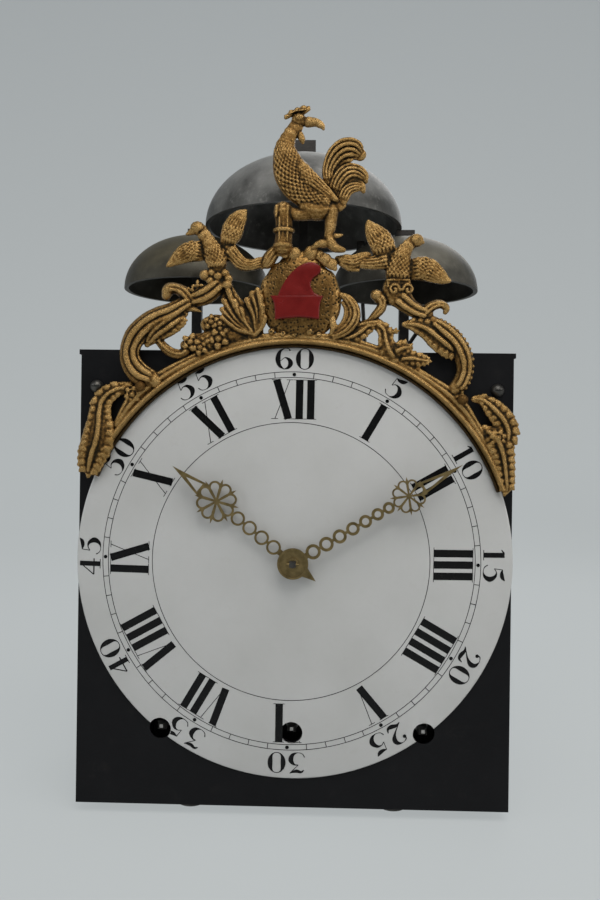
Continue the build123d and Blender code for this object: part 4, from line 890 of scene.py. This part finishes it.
def add_leaf(store, stroke, y=-76.8, roundness=0.55, pitch=3.6, sides=(-1, 1), ribs=(0.0,), size=0.5):
    """An acanthus leaf: a body with a midrib, veins and lobed edges."""
    add_body(store, stroke, y, roundness)
    add_lobes(store, stroke, sides, y - 0.2, pitch, 0.8, 40, size)
    add_reeds(store, stroke, ribs, y, roundness, 0.7, proud=0.55)


def rim_point(degrees, reach):
    turn = math.radians(degrees)
    return reach * math.sin(turn), 1000 * dial_centre.z + reach * math.cos(turn)


# Half-width of the band outside the rim at each clock angle in degrees
band_widths = {
    "left": ((0.5, 3.4), (12, 3.2), (22, 3.4), (31, 3.8), (38, 4.6), (43, 5.2), (48, 4.2), (53, 2.6)),
    "right": ((-0.5, 3.4), (12, 3.4), (22, 3.6), (30, 3.2), (36, 3.6), (42, 4.6), (47, 4.6), (52, 3.6),
              (60, 3.0), (66, 2.4)),
}
halves = []
for side_name, strokes in (("left", left_scrolls), ("right", right_scrolls)):
    left = side_name == "left"
    store = ([], [])
    base_widths = band_widths[side_name]
    base = [(*rim_point(-turn if left else turn, 135.8 + wide), wide) for turn, wide in base_widths]
    line, half = along(base)[:2]
    add_tube(store, line, half, 2.6, -76.0, 12)
    add_reeds(store, base, (-0.55, 0.1) if left else (0.55, -0.1), -76.2, 0.5, 0.8, (0.02, 0.98), 0.5)
    shares = (-0.45, 0.2) if left else (-0.2, 0.45)
    add_ribbed(store, strokes["scroll"], -76.8, 0.78, shares, 1.1, proud=0.3)
    outer = -0.86 if left else 0.86
    add_beads(store, strokes["scroll"], outer, -76.6, 0.78, 2.25 if left else 2.9, 1.0 if left else 1.3)
    add_ribbed(store, strokes["curl"], -77.0, 0.85, (-0.4, 0.3), 0.6, (0.0, 0.75))
    add_ribbed(store, strokes["perch"], -76.8, 0.7, (-0.4, 0.35), 1.0, proud=0.3)
    add_leaf(store, strokes["end_leaf"], -76.6, 0.5, 4.2)
    x, z, size = strokes["rosette"][0]
    add_flower(store, x, z, size * 1.15, -78.4)
    add_body(store, strokes["dove"], -77.4, 0.75)
    add_scales(store, strokes["dove"], 6, -77.4, 0.75, 1.6, 2.2, 0.72, (0.08, 1.0), 0.45)
    x, z, size = strokes["head"][0]
    add_ball(store, x, -78.2, z, size, 0.85)
    add_ball(store, x + (-1.0 if left else 1.0), -81.5, z + 0.5, 0.75)
    add_body(store, strokes["beak"], -78.4, 0.9)
    for part in ("wing", "low_wing"):
        add_ribbed(store, strokes[part], -77.8, 0.42, (-0.88, -0.62, -0.36, -0.1, 0.16, 0.42, 0.68, 0.9),
                   0.72, (0.36, 1.0), 0.4)
        add_scales(store, strokes[part], 6, -77.8, 0.42, 1.6, 2.2, 0.72, (0.0, 0.4), 0.55)
    for part in ("tail", "tail_low", "tail_root"):
        if part in strokes:
            add_ribbed(store, strokes[part], -77.2, 0.6, (-0.75, -0.35, 0.05, 0.45, 0.8), 0.7,
                       (0.05, 1.0), 0.4)
    for x, z, size in strokes["collar"]:
        add_ball(store, x, -78.8, z, size * 1.5, 0.6)
        add_ball(store, x, -79.4, z - size * 0.7, size * 0.9, 0.6)
    halves.append((side_name, store))

store = halves[0][1]
add_leaf(store, left_scrolls["scroll_leaf"], -77.6, 0.55, 3.4, (-1,), (-0.3, 0.3), 0.42)
for part in ("tip", "volute"):
    add_ribbed(store, left_scrolls[part], -77.4, 0.8, (-0.6, -0.1, 0.4), 0.7, proud=0.4)
for x, z, size in left_scrolls["bud"]:
    add_flower(store, x, z, size * 1.1, -78.6, 4, x)
for k, (x, z, size) in enumerate(left_scrolls["berries"]):
    add_ball(store, x, -78.4 - 0.5 * (k % 3), z, size * 0.98, 0.85)
for part in ("stem", "fan"):
    add_body(store, left_scrolls[part], -76.4, 0.55)
add_ribs(store, left_scrolls["fan_base"][0], left_scrolls["fan_ends"], -79.4)
for part in ("flowers", "flowers_top"):
    add_body(store, left_scrolls[part], -76.2, 0.55)
for k, (x, z, size) in enumerate(left_scrolls["rosettes"]):
    add_flower(store, x, z, size * 1.1, -79.0 - 0.4 * (k % 2), 5, 0.7 * k)
add_body(store, left_scrolls["link"], -76.8, 0.85)
add_beads(store, left_scrolls["link"], 0.0, -76.8, 0.85, 1.9, 1.0)

store = halves[1][1]
for part in ("shell", "shell_inner", "shell_small"):
    add_ribbed(store, right_scrolls[part], -77.4, 0.8, (-0.6, 0.0, 0.6), 0.7, proud=0.35)
add_leaf(store, right_scrolls["leaf"], -76.8, 0.55, 3.8, (-1,), (-0.1,), 0.46)
for part in ("stem", "link"):
    add_ribbed(store, right_scrolls[part], -76.8, 0.85, (-0.4, 0.3), 0.6)
x, z, size = right_scrolls["bulb"][0]
add_ball(store, x, -77.6, z, size, 1.0)
add_body(store, right_scrolls["urn"], -77.0, 0.6)
for k in range(3):
    add_tube(store, [(55.2, 327.2 - k * 1.9), (69.0, 327.2 - k * 1.9)], 0.65, 0.7, -81.2 + 0.25 * k, 8)
x, z, size = right_scrolls["urn_spiral"][0]
for middle, hand in ((x - 4.4, 1), (x + 4.4, -1)):
    coil = [(middle + hand * r * math.cos(a), z - 1.5 + r * math.sin(a), 0.8)
            for r, a in [(3.6 - 0.36 * k, 0.9 * k) for k in range(9)]]
    line, half = along(coil)[:2]
    add_tube(store, line, half, half, -81.8, 8)
add_leaf(store, right_scrolls["acanthus"], -77.4, 0.5, 3.8, (-1, 1), (0.0,), 0.44)
add_leaf(store, right_scrolls["end_leaf_low"], -76.6, 0.5, 4.2)
x, z, size = right_scrolls["end_rose"][0]
add_flower(store, x, z, size * 1.1, -79.6, 7)
for part in ("small_leaf", "small_tip", "small_side", "small_low"):
    add_leaf(store, right_scrolls[part], -76.8, 0.65, 3.4, (-1, 1), (0.0,), 0.46)


def gilding_material(name, stippled=False):
    """Worn gilding: bright where it is rubbed, green-black in the hollows, rough from the mould. The dark of
    the hollows is partly patina and partly painted shade.
    """
    made, tree, skin, cloud = clouded_material(name, 90, 1100)
    near = node(tree, "ShaderNodeAttribute", (-1300, 400), attribute_name="hollow_near")
    wide = node(tree, "ShaderNodeAttribute", (-1300, 250), attribute_name="hollow_wide")
    # The hollower a point, the darker its tone: painted shade in the hollows, over the patina that lies
    # there.
    total = node(tree, "ShaderNodeMath", (-1100, 350),
                 {0: near.outputs["Fac"], 1: 0.55, 2: wide.outputs["Fac"]}, operation="MULTIPLY_ADD")
    grit = node(tree, "ShaderNodeMath", (-900, 350), {0: cloud["Fine"], 1: -0.55, 2: total.outputs[0]},
                operation="MULTIPLY_ADD")
    span = node(tree, "ShaderNodeMapRange", (-700, 350),
                {"Value": grit.outputs[0], "From Min": -0.95, "From Max": 0.75})
    tones = node(tree, "ShaderNodeValToRGB", (-500, 350), {0: span.outputs[0]})
    ramp = tones.color_ramp.elements
    ramp[0].color = (0.46, 0.285, 0.105, 1)
    ramp[1].color = (0.014, 0.010, 0.004, 1)
    for position, tone in ((0.22, (0.27, 0.148, 0.042, 1)), (0.45, (0.135, 0.070, 0.019, 1)),
                           (0.68, (0.040, 0.025, 0.008, 1))):
        ramp.new(position).color = tone
    tarnish = node(tree, "ShaderNodeMix", (-200, 300),
                   {0: cloud["Broad"], 6: tones.outputs[0], 7: (0.62, 0.58, 0.48, 1)}, data_type="RGBA",
                   blend_type="MULTIPLY")
    colour, height = tarnish.outputs[2], cloud["Fine"]
    if stippled:
        place = node(tree, "ShaderNodeTexCoord", (-1300, -300))
        pits = node(tree, "ShaderNodeTexVoronoi", (-1100, -300),
                    {"Vector": place.outputs["Object"], "Scale": 470.0, "Randomness": 0.75})
        hole = node(tree, "ShaderNodeMapRange", (-900, -300),
                    {"Value": pits.outputs["Distance"], "From Min": 0.2, "From Max": 0.46})
        # The punch pits are painted near black: painted shade in the pits.
        dark = node(tree, "ShaderNodeMix", (0, 300),
                    {0: hole.outputs[0], 6: (0.02, 0.014, 0.005, 1), 7: colour}, data_type="RGBA")
        colour, height = dark.outputs[2], hole.outputs[0]
    gloss = node(tree, "ShaderNodeMapRange", (-500, -100),
                 {"Value": span.outputs[0], "To Min": 0.27, "To Max": 0.58})
    relief = node(tree, "ShaderNodeBump", (-250, -350),
                  {"Height": height, "Strength": 0.55, "Distance": 0.0005})
    feed(skin, {"Base Color": colour, "Roughness": gloss.outputs[0], "Normal": relief.outputs[0],
                "Metallic": 0.85})
    return made


gilding = gilding_material("worn_gilding_and_painted_shade")
casting_grain = 0.00052
casting_back = -0.0742
for side_name, store in halves:
    half_casting = cast_piece("pediment_" + side_name, store, casting_grain, casting_back)
    half_casting.data.materials.append(gilding)
    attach(half_casting, "cage")
    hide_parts("pediment")


# Rim of the pediment. The arched edge of the same casting laps over the dial: a round moulding
# with a small bead inside it, cast with the scrolls and filed smooth.
rim_section = [(132.0, -74.2), (132.0, -75.6), (132.3, -76.5), (132.9, -76.9), (133.5, -76.6), (133.8, -76.0),
               (134.1, -77.2), (134.7, -78.5), (135.6, -79.4), (136.6, -79.3), (137.4, -78.4), (137.9, -77.0),
               (138.0, -75.4), (138.0, -74.2)]
rim_start, rim_sweep = math.radians(-67.5), math.radians(-138)
rim_lip_end = 0.1337
rim_points = [(r / 1000 * math.sin(rim_start), y / 1000, dial_centre.z + r / 1000 * math.cos(rim_start))
              for r, y in rim_section]
rim = new_piece("pediment_rim", rim_points, faces=[tuple(range(len(rim_section)))])
weld(0.00001, (150, rim_sweep))
note_hollows(rim)
# The rim's inner lip, nearer the centre than rim_lip_end, is set fully hollow so the gilding paints it near
# black: a painted shadow where the rim meets the dial. The other hollows of the rim are kept shallow.
lip_shadow_and_hollow = rim.data.attributes["hollow_wide"].data
for k, point in enumerate(rim.data.vertices):
    reach = (Vector((point.co.x, 0, point.co.z)) - dial_centre).length
    lip_shadow_and_hollow[k].value = 1.0 if reach < rim_lip_end else min(0.2, lip_shadow_and_hollow[k].value)
bpy.ops.object.shade_smooth_by_angle(angle=math.radians(50))
rim.data.materials.append(gilding)
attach(rim, "cage")


# Medallion. A shallow egg-shaped boss of the same casting, its ground pricked all over with a
# punch, with a soft cap in relief painted red.
store = ([], [])
middle_forms = {
    "medallion": [(1.9, 345.5, 3), (1.9, 343.8, 8), (1.9, 341.5, 11.5), (2, 338, 14.6), (1.8, 334.1, 18.8),
        (1.9, 328.7, 22.6), (1.8, 322.6, 24.7), (2.1, 314.9, 25.5), (2.4, 307.2, 24.4), (2.5, 300.3, 20.7),
        (2.6, 296.4, 17), (2.6, 293.2, 12), (2.6, 291.6, 8)],
    "lumps": [(-15.2, 295.4, 1.8), (-8.4, 293.9, 1.5), (-0.7, 293.4, 1.4), (8.5, 295.6, 2.1),
        (13.9, 293.5, 1.5)],
    "crown": [(-11, 315.7), (-8, 322.5), (-3.5, 329.3), (1.8, 334.1), (7.9, 336.5), (12.6, 335.1),
        (13.9, 332.5), (12.4, 330.4), (9.6, 328.4), (7.7, 324.9), (8.3, 321.1), (10.6, 317.7), (12.4, 315.9)],
    "band": [(-14.5, 315.7), (-13.5, 313.9), (-12.7, 311.7), (-12.3, 307.1), (-12.1, 303.1), (-5.5, 303.9),
        (0.7, 304.5), (6.8, 304.2), (13.1, 303.5), (13.2, 307.3), (13.5, 311.9), (14.2, 314.1), (15, 315.9)],
}
line, half, heading, run = along(middle_forms["medallion"])
swell = 2.2 + 4.6 * np.sqrt(np.clip(1 - ((run - run[-1] / 2) / (run[-1] / 2)) ** 2, 0, 1))
add_tube(store, line, half, swell, -75.4, 40, 0.1)
for x, z, size in middle_forms["lumps"]:
    add_ball(store, x, -78.6, z, size * 1.2, 0.8)
medallion = cast_piece("medallion", store, casting_grain, casting_back, 0.0002)
medallion.data.materials.append(gilding_material("stippled_gilding_and_painted_shade", True))
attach(medallion, "cage")
red_paint = aged_surface("red_paint", (0.125, 0.005, 0.004), (0.19, 0.010, 0.008), (0.05, 0.006, 0.006),
                         120, 1100, (0.16, 0.3), 0.0, (0.2, 0.0002), 0.35, Specular_IOR_Level=0.3)
for label, thick, front in (("crown", 1.0, -81.9), ("band", 1.3, -82.5)):
    shape = middle_forms[label]
    curve = bpy.data.curves.new("cap_" + label, "CURVE")
    curve.dimensions = "2D"
    curve.fill_mode = "BOTH"
    curve.extrude = thick / 1000
    curve.bevel_depth = 0.0009
    curve.bevel_resolution = 3
    smooth_line = catmull(shape + shape[:1], 4 if label == "crown" else 1)[:-1]
    spline = curve.splines.new("POLY")
    spline.points.add(len(smooth_line) - 1)
    for point, (x, z) in zip(spline.points, smooth_line):
        point.co = (x / 1000, z / 1000, 0, 1)
    spline.use_cyclic_u = True
    made = bpy.data.objects.new("cap_" + label, curve)
    bpy.context.scene.collection.objects.link(made)
    activate(made)
    bpy.ops.object.convert(target="MESH")
    made = bpy.context.object
    made.data.transform(Matrix.Translation((0, front / 1000, 0)) @ Matrix.Rotation(math.pi / 2, 4, "X"))
    weld(0.000005)
    bpy.ops.object.shade_smooth_by_angle(angle=math.radians(40))
    made.data.materials.append(red_paint)
    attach(made, "cage")
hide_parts("medallion_cap")
finish(gilding, "pediment_rivets")


# Rooster. Cast in the round and gilt like the pediment: scaled neck and breast, three sickle
# feathers in the tail, one foot on a short fluted column and one on the crest.
rooster_mid = -81.5
wing_y = -85.0
rooster_forms = {
    "comb": [(-8.1, 425.9, 1.1), (-4.7, 428.2, 1.8), (-0.9, 429.4, 2.1), (2.9, 430.4, 2.4), (6, 431.2, 1.2)],
    "head": [(0.1, 424.3, 4.6)],
    "beak": [(5.7, 423.3, 3.4), (10.7, 423.1, 2.6), (14.1, 421, 2.1), (15.2, 419, 0.9)],
    "wattle": [(0.8, 416, 2.1), (2, 413, 2.3), (2.6, 410.8, 1.2)],
    "body": [(-1.1, 421.4, 4.4), (-6, 413.7, 4.6), (-8, 406.8, 6.8), (-7, 399.9, 8.9), (-4.4, 393.1, 11),
        (0.4, 386.2, 11.6), (6.8, 380.1, 10.6), (14.3, 376.3, 8.6), (20.5, 373.5, 5.8), (25.8, 371.8, 3.4),
        (28.7, 372, 1.1)],
    "thigh": [(8.3, 367.9, 4.8), (-0.1, 366.7, 3.9), (-7, 368.2, 3.9), (-10.4, 368.6, 3.9)],
    "column": [(-8.9, 368.6, 6), (-8.3, 363.2, 5.3), (-8.2, 357.9, 5.2), (-8.3, 352.5, 5.3),
        (-8.8, 347.2, 5.6)],
    "belly": [(6, 371, 5.9), (10.6, 369.3, 6.4), (16.7, 369.9, 5.9), (21.3, 371.6, 4.2)],
    "rings": [(-8.9, 370.5, 5.6), (-8.6, 366.3, 5.2), (-8.3, 356.7, 6.7), (-8.8, 347.5, 6.1)],
    "leg": [(20.5, 369.5, 4.8), (20.4, 363.4, 3.9), (20.1, 358.8, 3.5), (19.4, 354.2, 3), (20, 350.4, 3.4)],
    "spur": [(20.7, 353.4, 1.8), (24.5, 353.8, 1.5), (27.4, 354.4, 0.8)],
    "toe": [(18.1, 349.2, 2.9), (13.2, 348.7, 2.4), (9.2, 346.3, 1.1)],
    "toes": [(20, 349.6, 3.5), (23.5, 346.4, 2.9), (28.1, 345.2, 1.7)],
    "sickle": [(19, 386.7, 3.5), (18.7, 392.8, 4.2), (20.5, 398.1, 5.4), (23.7, 402.7, 6.8),
        (28.6, 405.7, 7.8), (34, 405.7, 7.2), (37.4, 403.6, 4.2)],
    "sickle_mid": [(22.7, 380.2, 4.2), (25, 386.3, 5.1), (29.8, 391.7, 5.8), (35.5, 392.5, 5.1),
        (40.1, 389.8, 3.6), (41.5, 387.1, 1.4)],
    "sickle_low": [(26.6, 375.6, 4.2), (29.4, 381.4, 4.2), (34.1, 383.9, 3.8), (38.6, 383.7, 3.1),
        (40, 381.2, 1.6)],
}
store = ([], [])
for part, roundness in (("beak", 0.85), ("wattle", 0.75), ("leg", 0.9), ("thigh", 0.85), ("column", 0.9),
                        ("belly", 0.8), ("spur", 0.9), ("toe", 0.9), ("toes", 0.9)):
    add_form(store, rooster_forms[part], roundness, 0.6, 5.6, rooster_mid, 14)
add_form(store, rooster_forms["body"], 0.62, 1, 4.6, rooster_mid, 20)
x, z, size = rooster_forms["head"][0]
add_ball(store, x, rooster_mid, z, size, 0.85)
add_body(store, rooster_forms["comb"], rooster_mid, 0.75)
for k, (x, z, size) in enumerate(rooster_forms["comb"]):
    add_ball(store, x, rooster_mid, z + 1.1, size * 0.95, 0.85)
for turn in np.linspace(0, math.tau, 9)[:-1]:
    add_ball(store, 0.6 + 1.9 * math.cos(turn), -85.4, 425.0 + 1.3 * math.sin(turn), 0.55)
add_ball(store, 0.6, -85.5, 425.0, 0.85)
add_tube(store, [(-6.4, 427.0), (-2.0, 429.2), (4.8, 430.0)], 0.6, 0.6, -84.2, 8)
add_scales(store, rooster_forms["body"], 8, rooster_mid, 0.62, 1.9, 2.7, 0.8, (0.06, 0.86), 0.5)
for part in ("sickle", "sickle_mid", "sickle_low"):
    add_form(store, rooster_forms[part], 0.55, 0.9, 3.0, rooster_mid, 14)
    add_reeds(store, rooster_forms[part], (-0.86, -0.5, -0.1, 0.35, 0.75), rooster_mid, 0.55, 0.85,
              (0.08, 1.0), proud=0.5)
wing = [(1.5, 397, 2.5), (5.0, 390.5, 4.6), (11, 384, 4.8), (18, 378.5, 3.4), (24, 374.5, 1.2)]
add_form(store, wing, 0.42, 0.9, 2.2, wing_y, 12)
add_reeds(store, wing, (-0.8, -0.4, 0.0, 0.4, 0.8), wing_y, 0.42, 0.75, (0.4, 1.0), proud=0.35)
add_scales(store, wing, 5, wing_y, 0.42, 1.9, 2.6, 0.8, (0.0, 0.45), 0.5)
for x, z, wide in rooster_forms["rings"]:
    add_tube(store, [(x, z - 0.8), (x, z + 0.8)], wide, wide * 0.85, rooster_mid, 14, 0.2)
for x in (-12.6, -9.4, -6.0):
    claw = np.array((1.3, 0.7))
    add_tube(store, [(x, 370.5), (x - 0.4, 364.5)], claw, claw, (-85.4, -85.6), 8)
for x in (-10.8, -8.4, -6.0):
    add_tube(store, [(x, 364), (x, 350)], 0.7, 0.7, -85.6, 8)
rooster = cast_piece("cast_rooster", store, 0.00042, None, 0.0003)
rooster.data.materials.append(gilding)
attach(rooster, "cage")
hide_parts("rooster")
